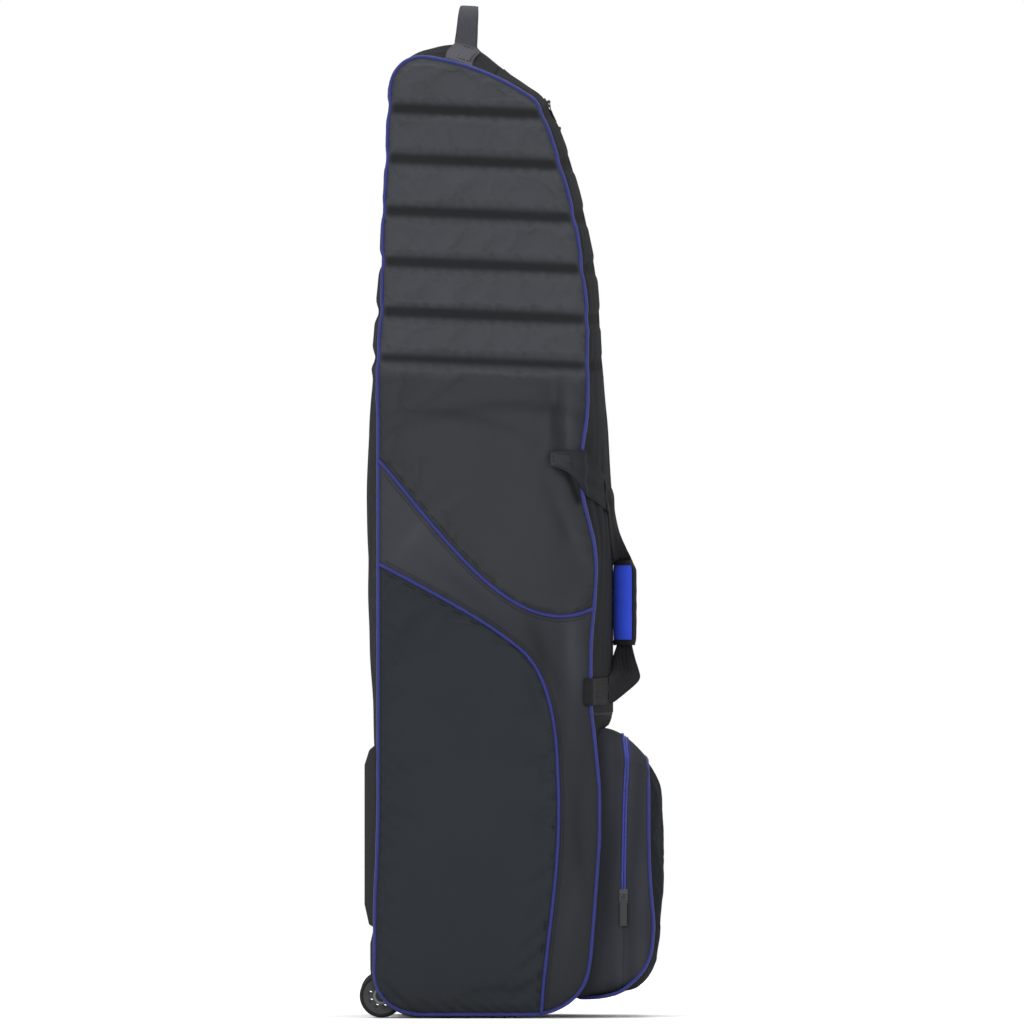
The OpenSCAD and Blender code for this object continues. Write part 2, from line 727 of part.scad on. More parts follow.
side_panel_upper_near();
far_side() side_panel_upper_near();  // side_panel_upper_far
side_panel_middle_near();
far_side() side_panel_middle_near();  // side_panel_middle_far
side_panel_lower_near();
far_side() side_panel_lower_near();  // side_panel_lower_far
foam_near();
far_side() foam_near();  // foam_far
piping_near();
far_side() piping_near();  // piping_far
trim_piping_near();
far_side() trim_piping_near();  // trim_piping_far
back_panel();
top_panel();
gusset_near();
far_side() gusset_near();  // gusset_far
lower_front_panel();
base_panel();
base_board();
back_board();
zip_upper();
wheel_housing();
axle_bolts();
axle_nuts();
axle_spacers();
tyre_near();
hub_near();
bearings_near();
far_side() tyre_near();  // tyre_far
far_side() hub_near();  // hub_far
far_side() bearings_near();  // bearings_far
rail_near();
far_side() rail_near();  // rail_far
rail_screws();
base_feet();
pocket_tub();
pocket_tub_piping();
pocket_zip(pocket_zip_x - 2.9, pocket_zip_x - 0.6);  // pocket_zip_tub
pocket_lid();
pocket_lid_piping();
pocket_zip(pocket_zip_x + 0.6, pocket_zip_x + 2.9);  // pocket_zip_lid
on_pocket() slider_form(18);  // pocket_slider
on_pocket() pull_form(40);  // pocket_pull
flap_near();
zip_half_near();
flap_strap_near();
far_side() flap_near();  // flap_far
far_side() zip_half_near();  // zip_half_far
far_side() flap_strap_near();  // flap_strap_far
handle_strap_near();
grip_near();
far_side() handle_strap_near();  // handle_strap_far
far_side() grip_near();  // grip_far
strap_ends();
top_handle();
top_handle_ends();
on_arc(c_front, front_r, lower_slider_a) slider_form(18);  // zip_slider_lower
on_arc(c_front, front_r, lower_slider_a) pull_form(26);  // zip_pull_lower
on_arc(c_shoulder, shoulder_r, upper_slider_a) slider_form(14);  // zip_slider_upper
on_arc(c_shoulder, shoulder_r, upper_slider_a) pull_form(22);  // zip_pull_upper
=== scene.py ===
"""Soft travel bag on two wheels: its looks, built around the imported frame.

Lengths in this file are in millimetres until a mesh is made, which is in metres.
+X is the bag's front, +Z is up and -Y is the near side.
"""
import json
import math
import bpy
import bmesh
import numpy as np
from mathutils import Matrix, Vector


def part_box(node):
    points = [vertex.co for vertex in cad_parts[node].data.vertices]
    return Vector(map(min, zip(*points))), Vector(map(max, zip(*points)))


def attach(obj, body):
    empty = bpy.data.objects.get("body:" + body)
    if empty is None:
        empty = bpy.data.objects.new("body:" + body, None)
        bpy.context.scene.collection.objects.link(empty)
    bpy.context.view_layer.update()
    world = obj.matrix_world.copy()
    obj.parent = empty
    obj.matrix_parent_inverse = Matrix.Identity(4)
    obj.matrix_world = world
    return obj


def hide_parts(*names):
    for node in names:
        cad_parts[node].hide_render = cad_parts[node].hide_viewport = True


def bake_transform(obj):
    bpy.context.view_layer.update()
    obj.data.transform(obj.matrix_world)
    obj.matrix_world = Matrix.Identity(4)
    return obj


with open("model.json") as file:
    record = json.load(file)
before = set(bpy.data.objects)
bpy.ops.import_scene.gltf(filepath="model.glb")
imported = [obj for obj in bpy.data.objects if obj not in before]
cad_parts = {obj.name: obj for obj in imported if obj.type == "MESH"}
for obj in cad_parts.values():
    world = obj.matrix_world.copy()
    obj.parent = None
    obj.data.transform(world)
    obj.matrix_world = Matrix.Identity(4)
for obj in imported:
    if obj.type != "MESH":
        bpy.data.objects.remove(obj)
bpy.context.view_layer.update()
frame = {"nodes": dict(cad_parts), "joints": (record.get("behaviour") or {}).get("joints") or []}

MM = 0.001
rng = np.random.default_rng(11)


def node_box(name):
    low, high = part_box(name)
    return np.array(low) / MM, np.array(high) / MM


def smooth(t):
    t = np.clip(t, 0, 1)
    return t * t * (3 - 2 * t)


def triple(a, b, c):
    """Rows of three from arrays or single numbers."""
    return np.stack(np.broadcast_arrays(a, b, c), -1)


def unit(vectors):
    return vectors / (np.linalg.norm(vectors, axis=-1, keepdims=True) + 1e-9)


def heading(degrees):
    a = math.radians(degrees)
    return np.array([math.cos(a), math.sin(a)])


def mirrored(points):
    return np.asarray(points) * np.array([1, -1, 1])


# Each side's name, the sign of its Y, and what turns near points into its own
SIDES = (("near", -1, np.asarray), ("far", 1, mirrored))


# ---------------------------------------------------------------- the bag's outline
PANEL_EDGE = 3.3
panel_low, panel_high = node_box("side_panel_upper_near")
FRONT_X = panel_high[0] + PANEL_EDGE
BACK_X = PANEL_EDGE - panel_low[0]
HALF_W = -panel_high[1]
BASE_Z = node_box("side_panel_lower_near")[0][2] - PANEL_EDGE
ZIP_FOOT_Z = node_box("flap_near")[0][2] - 1
BEND_Z = node_box("back_board")[1][2]
HALF_GUSSET = HALF_W - PANEL_EDGE

# Radii of the outline's arcs and the angles at which one hands over to the next
FRONT_R, SHOULDER_R, TOP_R, CREST_R, HEEL_R, TOE_R = 1070, 40, 330, 42, 60, 85
FRONT_TO, SHOULDER_TO, TOP_TO, CREST_TO = 21, 56, 82, 178

C_FRONT = np.array([FRONT_X - FRONT_R, BEND_Z])
C_SHOULDER = C_FRONT + (FRONT_R - SHOULDER_R) * heading(FRONT_TO)
C_TOP = C_SHOULDER + (SHOULDER_R - TOP_R) * heading(SHOULDER_TO)
C_CREST = C_TOP + (TOP_R - CREST_R) * heading(TOP_TO)
C_HEEL = np.array([HEEL_R - BACK_X, BASE_Z + HEEL_R])
C_TOE = np.array([FRONT_X - TOE_R, BASE_Z + TOE_R])
CREST_END = C_CREST + CREST_R * heading(CREST_TO)
OUTLINE_PITCH = 3.0


def arc(centre, radius, start, end):
    """Points and outward normals round part of a circle, as rows of x, z, nx, nz."""
    n = max(3, int(abs(math.radians(end - start)) * radius / OUTLINE_PITCH))
    a = np.radians(np.linspace(start, end, n + 1))
    return np.c_[centre[0] + radius * np.cos(a), centre[1] + radius * np.sin(a), np.cos(a), np.sin(a)]


def straight(p, q, normal):
    """The same between two points, which are left out."""
    n = max(2, int(math.dist(p, q) / OUTLINE_PITCH))
    t = np.linspace(0, 1, n + 1)[1:-1, None]
    return np.c_[(1 - t) * np.array(p) + t * np.array(q), np.tile(normal, (n - 1, 1))]


outline = np.vstack([
    [[FRONT_X, ZIP_FOOT_Z, 1, 0]],
    straight((FRONT_X, ZIP_FOOT_Z), (FRONT_X, BEND_Z), (1, 0)),
    arc(C_FRONT, FRONT_R, 0, FRONT_TO),
    arc(C_SHOULDER, SHOULDER_R, FRONT_TO, SHOULDER_TO)[1:],
    arc(C_TOP, TOP_R, SHOULDER_TO, TOP_TO)[1:],
    arc(C_CREST, CREST_R, TOP_TO, CREST_TO)[1:],
    straight(CREST_END, (-BACK_X, BEND_Z), (-1, 0)),
    straight((-BACK_X, BEND_Z), (-BACK_X, C_HEEL[1]), (-1, 0)),
    arc(C_HEEL, HEEL_R, 180, 270),
    straight((C_HEEL[0], BASE_Z), (C_TOE[0], BASE_Z), (0, -1)),
    arc(C_TOE, TOE_R, 270, 360),
    straight((FRONT_X, C_TOE[1]), (FRONT_X, ZIP_FOOT_Z), (1, 0)),
    [[FRONT_X, ZIP_FOOT_Z, 1, 0]],
])
seam_s = np.r_[0, np.cumsum(np.hypot(*np.diff(outline[:, :2], axis=0).T))]
SEAM_LEN = seam_s[-1]

# How far the sewn seam strays out of its smooth outline, as (height, distance)
FRONT_STRAY = [(36, 0), (76, -6), (110, -3), (175, 2), (240, 6.5), (307, 6.5), (373, 0), (420, -6), (505, -5),
               (560, 0), (604, 2.5), (635, 0), (670, -9), (700, -17), (765, -17), (802, -10), (900, -8),
               (935, -4), (1000, -3), (1060, 0)]
BACK_STRAY = [(8, 0), (24, 4.5), (80, 3), (160, 2.5), (205, 0), (280, -2), (800, -2), (880, 1), (960, -1),
              (1080, 2.5), (1120, 0.5), (1200, 1.5), (1250, 0)]


def seam_stray():
    """The stray of each point of the outline, with the tables' corners rounded off."""
    front = np.interp(outline[:, 1], *zip(*FRONT_STRAY))
    back = np.interp(outline[:, 1], *zip(*BACK_STRAY))
    share = smooth((outline[:, 0] + 70) / 80)
    stray = share * front + (1 - share) * back
    return np.mean([np.interp((seam_s + d) % SEAM_LEN, seam_s, stray) for d in range(-15, 16, 3)], axis=0)


stray = seam_stray()
outline[:, :2] += stray[:, None] * outline[:, 2:]

# Distances along the seam, up the front from the foot of the main zip
S_BEND = BEND_Z - ZIP_FOOT_Z
S_SHOULDER = S_BEND + math.radians(FRONT_TO) * FRONT_R
S_TOP = S_SHOULDER + math.radians(SHOULDER_TO - FRONT_TO) * SHOULDER_R
S_ZIP_END = S_TOP + 55
S_HANDLE = S_TOP + 92
S_CREST = S_TOP + math.radians(TOP_TO - SHOULDER_TO) * TOP_R
S_BACK = S_CREST + math.radians(CREST_TO - TOP_TO) * CREST_R
S_TOE = SEAM_LEN - (ZIP_FOOT_Z - C_TOE[1]) - math.pi / 2 * TOE_R
S_HEEL = S_TOE - (C_TOE[0] - C_HEEL[0]) - math.pi / 2 * HEEL_R
S_HOUSING = S_HEEL - 52.5

# How far the middle of the gusset stands out of the seam, as (distance along the seam, height)
SWELL = [
    (0, 24), (275, 24), (330, 20), (390, 17), (S_BEND, 13), (S_BEND + 70, 9), (S_BEND + 150, 13),
    (S_SHOULDER - 60, 14), (S_SHOULDER - 15, 12), (S_TOP, 8.5), (S_TOP + 24, 9.5), (S_HANDLE - 41, 16),
    (S_HANDLE, 30), (S_HANDLE + 22, 29), (S_HANDLE + 46, 20), (S_CREST + 12, 6), (S_CREST + 34, 2),
    (S_BACK, 0), (S_BACK + 150, 0), (S_BACK + 268, 3), (S_BACK + 393, 8), (S_BACK + 498, 13),
    (S_BACK + 548, 14), (S_BACK + 648, 12.5), (S_BACK + 748, 10), (S_BACK + 848, 4), (S_HEEL, 1), (S_TOE, 0),
    (SEAM_LEN - 26, 1.5), (SEAM_LEN - 14, 22), (SEAM_LEN, 24),
]


def swell(s):
    """The swell table with its corners rounded off, except at the foot of the zip, less the seam's stray."""
    near = [np.interp(s + d, *zip(*SWELL)) for d in (-16, -8, 0, 8, 16)]
    inside = smooth(np.minimum(s, np.abs(SEAM_LEN - s)) / 30)
    return inside * np.mean(near, axis=0) + (1 - inside) * near[2] - np.interp(s, seam_s, stray)


def seam_at(s):
    """Point and outward normal of the seam in the side view, as x, z, nx, nz."""
    return [np.interp(s, seam_s, outline[:, k]) for k in range(4)]


# ---------------------------------------------------------------- runs of points
def bezier(points, n):
    t = np.linspace(0, 1, n + 1)[:, None]
    p = np.array(points, float)
    return (1 - t) ** 3 * p[0] + 3 * t * (1 - t) ** 2 * p[1] + 3 * t * t * (1 - t) * p[2] + t ** 3 * p[3]


def spline(keys, n):
    """A smooth run through key rows of numbers (Catmull-Rom), n steps to each span."""
    k = np.array(keys, float)
    k = np.vstack([2 * k[0] - k[1], k, 2 * k[-1] - k[-2]])
    t = np.linspace(0, 1, n, endpoint=False)[:, None]
    rows = []
    for a, b, c, d in zip(k, k[1:], k[2:], k[3:]):
        rows.append(0.5 * (2 * b + (c - a) * t + (2 * a - 5 * b + 4 * c - d) * t ** 2
                           + (3 * b - a - 3 * c + d) * t ** 3))
    return np.vstack(rows + [k[-2][None]])


def along(points):
    """Distance along a run of points."""
    return np.r_[0, np.cumsum(np.linalg.norm(np.diff(points, axis=0), axis=1))]


def sample(at, d, rows):
    """Rows of numbers known at the distances d, read at others."""
    return np.stack([np.interp(at, d, rows[:, k]) for k in range(rows.shape[1])], 1)


def resample(points, n):
    """n + 1 points evenly spaced along a run."""
    d = along(points)
    return sample(np.linspace(0, d[-1], n + 1), d, points)


def distance_to(x, z, line):
    """Distance from each point to the nearest point of a line."""
    flat = np.c_[x.ravel(), z.ravel()]
    best = np.full(len(flat), 1e9)
    for k in range(0, len(line), 60):
        part = line[k:k + 60, :2]
        d = np.hypot(flat[:, None, 0] - part[None, :, 0], flat[:, None, 1] - part[None, :, 1])
        best = np.minimum(best, d.min(axis=1))
    return best.reshape(x.shape)


# ---------------------------------------------------------------- quilting and folds
GROOVE_Z = np.array([884, 946, 1013, 1081, 1151, 1218.0])
GROOVE_DROP = math.tan(math.radians(2.3))
GROOVE_HALF = 5.5
QUILT_FROM = GROOVE_Z[0] - 30
QUILT_TOP = 1262


def groove_distance(x, z):
    """Distance to the middle of the nearest sewn channel of the quilting."""
    level = z + GROOVE_DROP * (x + BACK_X)
    return np.min(np.abs(level[..., None] - GROOVE_Z), axis=-1)


def pad(x, z):
    """1 in the middle of a quilted pad, 0 in a channel; 1 below the quilting."""
    return smooth((groove_distance(x, z) - GROOVE_HALF + 2.5) / 15)


def in_quilt(x, z):
    return smooth((z + GROOVE_DROP * (x + BACK_X) - QUILT_FROM) / 20)


def on_gusset_quilt(x, z):
    """The same on the gusset, where the quilting ends below the top."""
    return in_quilt(x, z) * smooth((QUILT_TOP - z) / 20)


waves = rng.normal(size=(14, 2))
waves *= (rng.uniform(1 / 150, 1 / 38, 14) / np.hypot(*waves.T))[:, None] * 2 * math.pi
wave_phase = rng.uniform(0, 2 * math.pi, 14)


def rumple(u, v):
    """A smooth uneven surface about 1 high, from waves of different directions."""
    return np.sin(u[..., None] * waves[:, 0] + v[..., None] * waves[:, 1] + wave_phase).sum(-1) / 3.6


def pucker(s, pitch=21.0):
    """Uneven gathers along a seam, about 1 high."""
    return np.sin(2 * math.pi * (s / pitch + 0.35 * np.sin(s / 47.0))) * (0.6 + 0.4 * np.sin(s / 83.0 + 1))


# The two decorative seams across each side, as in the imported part
UPPER_TRIM_BACK, UPPER_TRIM_FRONT, LOWER_TRIM_BACK = 747, 549, 608
trim_upper = resample(
    bezier([(2 - BACK_X, UPPER_TRIM_BACK), (-94, 651), (6, 494), (FRONT_X, UPPER_TRIM_FRONT)], 120), 120)
trim_lower = resample(np.vstack([
    bezier([(2 - BACK_X, LOWER_TRIM_BACK), (-112, 573), (-40, 537), (12, 494)], 60),
    bezier([(12, 494), (47, 465), (61, 405), (62.5, 330)], 60)[1:],
    bezier([(62.5, 330), (70, 204), (48, 119), (41, BASE_Z + 1)], 60)[1:],
]), 200)


def trim_distance(x, z):
    return np.minimum(distance_to(x, z, trim_upper), distance_to(x, z, trim_lower))


# Broad soft folds of the side: middle x and z, direction in degrees, half length, half width, height
BROAD_FOLDS = [
    (84, 492, 96, 62, 13, 2.4), (42, 486, 112, 50, 12, -2.0), (88, 635, 118, 70, 10, 2.0),
    (72, 655, 118, 60, 9, -1.6), (20, 818, -4, 120, 9, -1.4), (-70, 806, -9, 80, 8, -1.2),
    (-120, 655, 45, 50, 9, 1.0), (-60, 575, -40, 60, 10, -0.9), (88, 250, 92, 80, 9, -1.3),
    (75, 120, 80, 60, 9, 1.0), (78, 790, 100, 60, 9, 1.6), (55, 800, 105, 50, 8, -1.4),
]
# Where the upper carry strap is sewn on the side, and the line of its shadow
STRAP_X, STRAP_Z = 72, 715
UNDER_STRAP = resample(np.array([(54, 735.0), (65, 731), (75, 725), (81, 717), (86, 707), (91, 692)]), 40)


def broad_folds(x, z):
    total = 0 * x
    for at_x, at_z, degrees, half_length, half_width, height in BROAD_FOLDS:
        c, s = heading(degrees)
        u, v = (x - at_x) * c + (z - at_z) * s, (z - at_z) * c - (x - at_x) * s
        total = total + height * np.exp(-(u / half_length) ** 2 - ((v + 0.0015 * u * u) / half_width) ** 2)
    return total


def strap_folds(x, z):
    """Folds that the carry straps pull into the side, above and below where they are sewn."""
    reach = np.exp(-((x - STRAP_X) / 34) ** 2)
    up = smooth((z - STRAP_Z - 20) / 30) * (1 - smooth((z - 800) / 75))
    down = smooth((STRAP_Z - 25 - z) / 25) * (1 - smooth((690 - z) / 130))
    lean = x - 0.10 * (z - STRAP_Z)
    folds = 2.2 * up * np.sin(lean / 5.4 + 0.6) + 1.6 * down * np.sin(lean / 7.5 + 1.2)
    low = np.exp(-((x - 78) / 22) ** 2) * smooth((z - 330) / 60) * (1 - smooth((z - 505) / 40))
    return reach * folds + 1.8 * low * np.sin(x / 6.2 + 0.9)


def side_height(x, z):
    """How far the side stands out of the plane of the seams."""
    d_out, d_trim = distance_to(x, z, outline), trim_distance(x, z)
    quilt = in_quilt(x, z) * smooth((d_out - 1) / 12)
    q = pad(x, z)
    h = 8.5 * (1 - np.exp(-d_out / 8.0)) + 4.5 * smooth(d_out / 105)
    h = h * (1 - 0.42 * quilt * (1 - q)) + 3.0 * quilt * np.sqrt(np.clip(q, 0, 1)) - 1.5 * quilt * (1 - q)
    gathers = np.exp(-((groove_distance(x, z) - 11) / 7) ** 2) * quilt * smooth((d_out - 8) / 12)
    h += 0.8 * gathers * pucker(x + 0.35 * z, 17)
    h -= 3.2 * np.exp(-(d_trim / 7.0) ** 2) * smooth(d_out / 14)
    h += 0.9 * np.exp(-d_out / 16) * (1 - np.exp(-d_out / 4)) * pucker(z * 1.02 + x * 0.9)
    h += 0.7 * np.exp(-d_trim / 13) * (1 - np.exp(-d_trim / 4)) * pucker(z * 0.8 - x * 0.75, 27)
    h += 0.9 * smooth(d_out / 40) * rumple(x, z * 0.55) * (1 - 0.6 * quilt)
    return h + (strap_folds(x, z) + broad_folds(x, z)) * smooth(d_out / 12)


def side_shade(x, z, below):
    """Painted shade: darker in the sewn channels, right beside the seams and under the upper strap's edge,
    with painted light and shade on the folds; below is the shade of the plain part.
    """
    d_out = distance_to(x, z, outline)
    quilt = in_quilt(x, z)
    lowest = smooth((GROOVE_Z[0] + 30 - z) / 20)
    # painted shade in the sewn channels
    channel = 1 - smooth((groove_distance(x, z) - 2.5 + 1.7 * lowest) / 9)
    dark = 1 - 0.72 * quilt * smooth((d_out + 1) / 9) * channel
    plain = quilt + (1 - quilt) * below
    # painted shadow under the lower edge of the upper carry strap
    shadow = np.exp(-(distance_to(x, z, UNDER_STRAP) / 5.0) ** 2) * smooth((x - 48) / 30)
    # painted light on the fold ridges and painted shade in their valleys
    fold_shading = 1 + 0.17 * (broad_folds(x, z) + 0.35 * strap_folds(x, z)) * (1 - quilt)
    # the seam term is painted shade where the cloth dips into the seams
    return dark * plain * fold_shading * (1 - 0.22 * np.exp(-d_out / 6)) * (1 - 0.97 * shadow)


# ---------------------------------------------------------------- meshes
# The weave coordinates and shade of parts that have no weave
PLAIN = (0, 0, 1)


def make_object(name, points, faces, weave=None, material=None, even_normals=True):
    """A mesh object; weave is the weave's coordinates and the shade of each point, or of all."""
    mesh = bpy.data.meshes.new(name)
    mesh.from_pydata((np.asarray(points, float) * MM).tolist(), [], [list(map(int, f)) for f in faces])
    if weave is not None:
        layer = mesh.attributes.new("weave", "FLOAT_VECTOR", "POINT")
        values = np.broadcast_to(weave, (len(points), 3))
        layer.data.foreach_set("vector", values.astype(np.float32).ravel())
    if even_normals:
        work = bmesh.new()
        work.from_mesh(mesh)
        bmesh.ops.recalc_face_normals(work, faces=work.faces)
        work.to_mesh(mesh)
        work.free()
    mesh.polygons.foreach_set("use_smooth", [True] * len(mesh.polygons))
    if material:
        mesh.materials.append(material)
    obj = bpy.data.objects.new(name, mesh)
    bpy.context.scene.collection.objects.link(obj)
    return obj


def grid_faces(m, n, base=0, wrap=False, loop=False):
    """Faces of a grid of m rows of n points; wrap closes its rows and loop its columns."""
    i, j = np.meshgrid(np.arange(m if loop else m - 1), np.arange(n if wrap else n - 1), indexing="ij")
    up, over = (i + 1) % m, (j + 1) % n
    return base + np.stack([i * n + j, up * n + j, up * n + over, i * n + over], -1).reshape(-1, 4)


def border(m, n):
    """Indices of a grid's border, once round."""
    index = np.arange(m * n).reshape(m, n)
    return np.r_[index[0], index[1:, -1], index[-1, -2::-1], index[-2:0:-1, 0]]


def shell(name, outer, inner, weave, material, pinched=False):
    """A closed skin between two grids of points. Pinched grids meet along their border."""
    m, n = outer.shape[:2]
    points = np.vstack([outer.reshape(-1, 3), inner.reshape(-1, 3)])
    coords = np.vstack([weave.reshape(-1, 3)] * 2)
    faces = np.vstack([grid_faces(m, n), grid_faces(m, n, m * n)[:, ::-1]])
    rim = border(m, n)
    if pinched:
        keep = np.arange(2 * m * n)
        keep[rim + m * n] = rim
        used, faces = np.unique(keep[faces], return_inverse=True)
        faces = faces.reshape(-1, 4)
        points, coords = points[used], coords[used]
    else:
        after = np.roll(rim, -1)
        faces = np.vstack([faces, np.stack([rim, after, after + m * n, rim + m * n], 1)])
    return make_object(name, points, faces, coords, material)


def copies(block, count, size):
    """The faces of a small block repeated for each of a count of copies with size points."""
    return [[i * size + k for k in face] for i in range(count) for face in block]


TUBE_SIDES = 12


def tube(name, path, radius, material, closed=False, up=(0, 1, 0), flat=1.0):
    """A round or flattened tube along a path, with a weave that follows it."""
    m = len(path)
    t = unit(np.roll(path, -1, 0) - np.roll(path, 1, 0) if closed else np.gradient(path, axis=0))
    side = unit(np.cross(t, np.array(up, float)))
    a = np.linspace(0, 2 * math.pi, TUBE_SIDES, endpoint=False)
    lift = flat * np.cross(side, t)
    ring = side[:, None] * np.cos(a)[None, :, None] + lift[:, None] * np.sin(a)[None, :, None]
    points = path[:, None] + np.broadcast_to(radius, m)[:, None, None] * ring
    faces = grid_faces(m, TUBE_SIDES, wrap=True, loop=closed).tolist()
    if not closed:
        faces += [list(range(TUBE_SIDES)), list(range(m * TUBE_SIDES - 1, (m - 1) * TUBE_SIDES - 1, -1))]
    weave = triple(along(path)[:, None], a * 3, 1)
    return make_object(name, points.reshape(-1, 3), faces, weave.reshape(-1, 3), material)


# Across a stitch: place as a share of its width, and whether it stands up
STITCH_ACROSS = np.array([-1 / 2, -1 / 3, 1 / 3, 1 / 2])
STITCH_UP = np.array([False, True, True, False])
# Along it: place as a share of its length, and how full it is there
STITCH_ENDS = np.array([(-0.5, 0.35), (-0.3, 0.9), (0.3, 0.9), (0.5, 0.35)])
HEAVY_THREAD = dict(length=3.6, width=1.0, height=0.5)


def dashes(name, runs, outward, length=3.4, width=0.8, height=0.45, gap=1.5):
    """Rows of lock stitches along runs of points, each a small rounded dash standing on the cloth."""
    u, w = STITCH_ENDS.T[:, :, None, None]
    rise = np.where(STITCH_UP[:, None], height * w, -0.3)
    points = []
    for run in runs:
        d = along(run)
        starts = np.arange(length, d[-1] - length, length + gap)
        p = sample(starts, d, run)
        t = unit(sample(starts + 0.6, d, run) - p)
        n = unit(outward - (t @ outward)[:, None] * t)
        p, t, n, b = (rows[:, None, None] for rows in (p, t, n, np.cross(t, n)))
        points.append(p + t * u * length + b * STITCH_ACROSS[:, None] * width * w + n * rise)
    points = np.vstack(points)
    block = [*grid_faces(4, 4, wrap=True), (3, 2, 1, 0), (12, 13, 14, 15)]
    return make_object(name, points.reshape(-1, 3), copies(block, len(points), 16), PLAIN, thread_dark)


def dress(piece, slot, *nodes):
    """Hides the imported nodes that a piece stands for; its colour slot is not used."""
    if nodes:
        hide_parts(*nodes)


def fasten(piece, body, slot, *nodes):
    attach(piece, body)
    dress(piece, slot, *nodes)


# ---------------------------------------------------------------- materials
class Surface:
    """A new material, and short ways to add nodes to it."""

    def __init__(self, name):
        self.material = bpy.data.materials.new(name)
        self.material.use_nodes = True
        self.tree = self.material.node_tree
        self.inputs = self.tree.nodes["Principled BSDF"].inputs

    def node(self, kind, **settings):
        node = self.tree.nodes.new(f"ShaderNode{kind}")
        for key, value in settings.items():
            setattr(node, key, value)
        return node

    def feed(self, socket, value):
        if isinstance(value, (int, float)):
            socket.default_value = value
        else:
            self.tree.links.new(value, socket)

    def maths(self, operation, *values):
        node = self.node("Math", operation=operation)
        for socket, value in zip(node.inputs, values):
            self.feed(socket, value)
        return node.outputs[0]

    def scaled(self, value, gain, offset):
        return self.maths("MULTIPLY_ADD", value, gain, offset)

    def product(self, first, *others):
        for other in others:
            first = self.maths("MULTIPLY", first, other)
        return first

    def noise(self, scale, detail):
        node = self.node("TexNoise")
        self.feed(node.inputs["Scale"], scale)
        self.feed(node.inputs["Detail"], detail)
        self.feed(node.inputs["Vector"], self.node("TexCoord").outputs["Object"])
        return node.outputs["Fac"]

    def tint(self, colour, factor):
        """The colour, made lighter or darker by a factor that varies over the surface."""
        mix = self.node("Mix", data_type="RGBA", blend_type="MULTIPLY")
        rgb = self.node("CombineColor")
        for k in range(3):
            self.feed(rgb.inputs[k], factor)
        mix.inputs["Factor"].default_value = 1
        mix.inputs["A"].default_value = (*colour, 1)
        self.feed(mix.inputs["B"], rgb.outputs[0])
        self.feed(self.inputs["Base Color"], mix.outputs["Result"])

    def bump(self, height, strength, distance):
        node = self.node("Bump")
        self.feed(node.inputs["Strength"], strength)
        self.feed(node.inputs["Distance"], distance * MM)
        self.feed(node.inputs["Height"], height)
        self.feed(self.inputs["Normal"], node.outputs["Normal"])

    def set(self, **values):
        """Sets the shader's sockets, whose names have _ for each space."""
        for name, value in values.items():
            self.feed(self.inputs[name.replace("_", " ")], value)


def cloth(name, colour, pitch=1.1, depth=0.35, sheen=0.03, mottle=0.16, roughness=0.85, rib=0.0,
          specular=0.14):
    """Woven cloth: yarns from the piece's own weave coordinates, mottled at random, and multiplied by the
    shade in its weave attribute, which holds painted shade and light.
    """
    look = Surface(name)
    split = look.node("SeparateXYZ")
    look.feed(split.inputs[0], look.node("Attribute", attribute_name="weave").outputs["Vector"])
    u, v, shade = split.outputs
    wander = look.noise(170, 2)
    frequency = 2 * math.pi / pitch
    yarns = look.product(*(look.maths("SINE", look.scaled(run, frequency, look.product(wander, 2.2)))
                           for run in (u, v)))
    height = yarns
    if rib:
        ribs = look.maths("SINE", look.product(v, 2 * math.pi / rib))
        height = look.maths("ADD", yarns, look.product(ribs, 1.4))
    fine, broad, cloudy = look.noise(900, 3), look.noise(26, 4), look.noise(7, 2)
    middle = 1 - mottle / 2
    # shade, the third value of the weave attribute, carries painted shade and light into the colour
    look.tint(colour, look.product(look.scaled(broad, mottle, middle), look.scaled(cloudy, mottle, middle),
                                   look.scaled(fine, 0.3, 0.85), look.scaled(yarns, 0.10, 1.0), shade))
    look.set(Roughness=look.scaled(broad, 0.12, roughness - 0.06), Sheen_Weight=sheen, Sheen_Roughness=0.5,
             Specular_IOR_Level=specular)
    look.bump(look.maths("ADD", height, look.product(fine, 0.9)), depth, 0.35)
    return look.material


def moulded(name, colour, roughness=0.5, grain=0.25, scuffs=0.3, specular=0.45):
    """Moulded plastic, rubber or lacquer: fine grain, and scuffs that catch the light."""
    look = Surface(name)
    fine, broad = look.noise(1400, 4), look.noise(45, 5)
    scuff = look.maths("POWER", look.noise(260, 6), 3.0)
    look.tint(colour, look.maths("ADD", look.scaled(broad, 0.24, 0.88), look.product(scuff, scuffs)))
    look.set(Roughness=look.scaled(broad, 0.22, roughness - 0.11), Specular_IOR_Level=specular)
    look.bump(fine, grain, 0.12)
    return look.material


def metal(name, colour, roughness):
    """Plated or die-cast metal with faint brushing."""
    look = Surface(name)
    broad = look.noise(60, 4)
    look.tint(colour, look.scaled(broad, 0.2, 0.9))
    look.set(Roughness=look.scaled(broad, 0.2, roughness - 0.1), Metallic=1.0)
    look.bump(look.noise(2200, 2), 0.12, 0.08)
    return look.material


def board(name, colour):
    """Stiff pressed board with a leather-like grain."""
    look = Surface(name)
    look.tint(colour, look.scaled(look.noise(30, 4), 0.3, 0.85))
    look.set(Roughness=0.62)
    look.bump(look.noise(500, 5), 0.5, 0.25)
    return look.material


quilted = cloth("quilted_polyester", (0.0325, 0.0350, 0.0400))
middle_cloth = cloth("grey_polyester", (0.0215, 0.0225, 0.0275))
lower_cloth = cloth("dark_polyester", (0.0132, 0.0155, 0.0190))
gusset_cloth = cloth("gusset_polyester", (0.0118, 0.0122, 0.0140), sheen=0.0, specular=0.05)
pocket_cloth = cloth("pocket_polyester", (0.0226, 0.0236, 0.0284), sheen=0.0, specular=0.05)
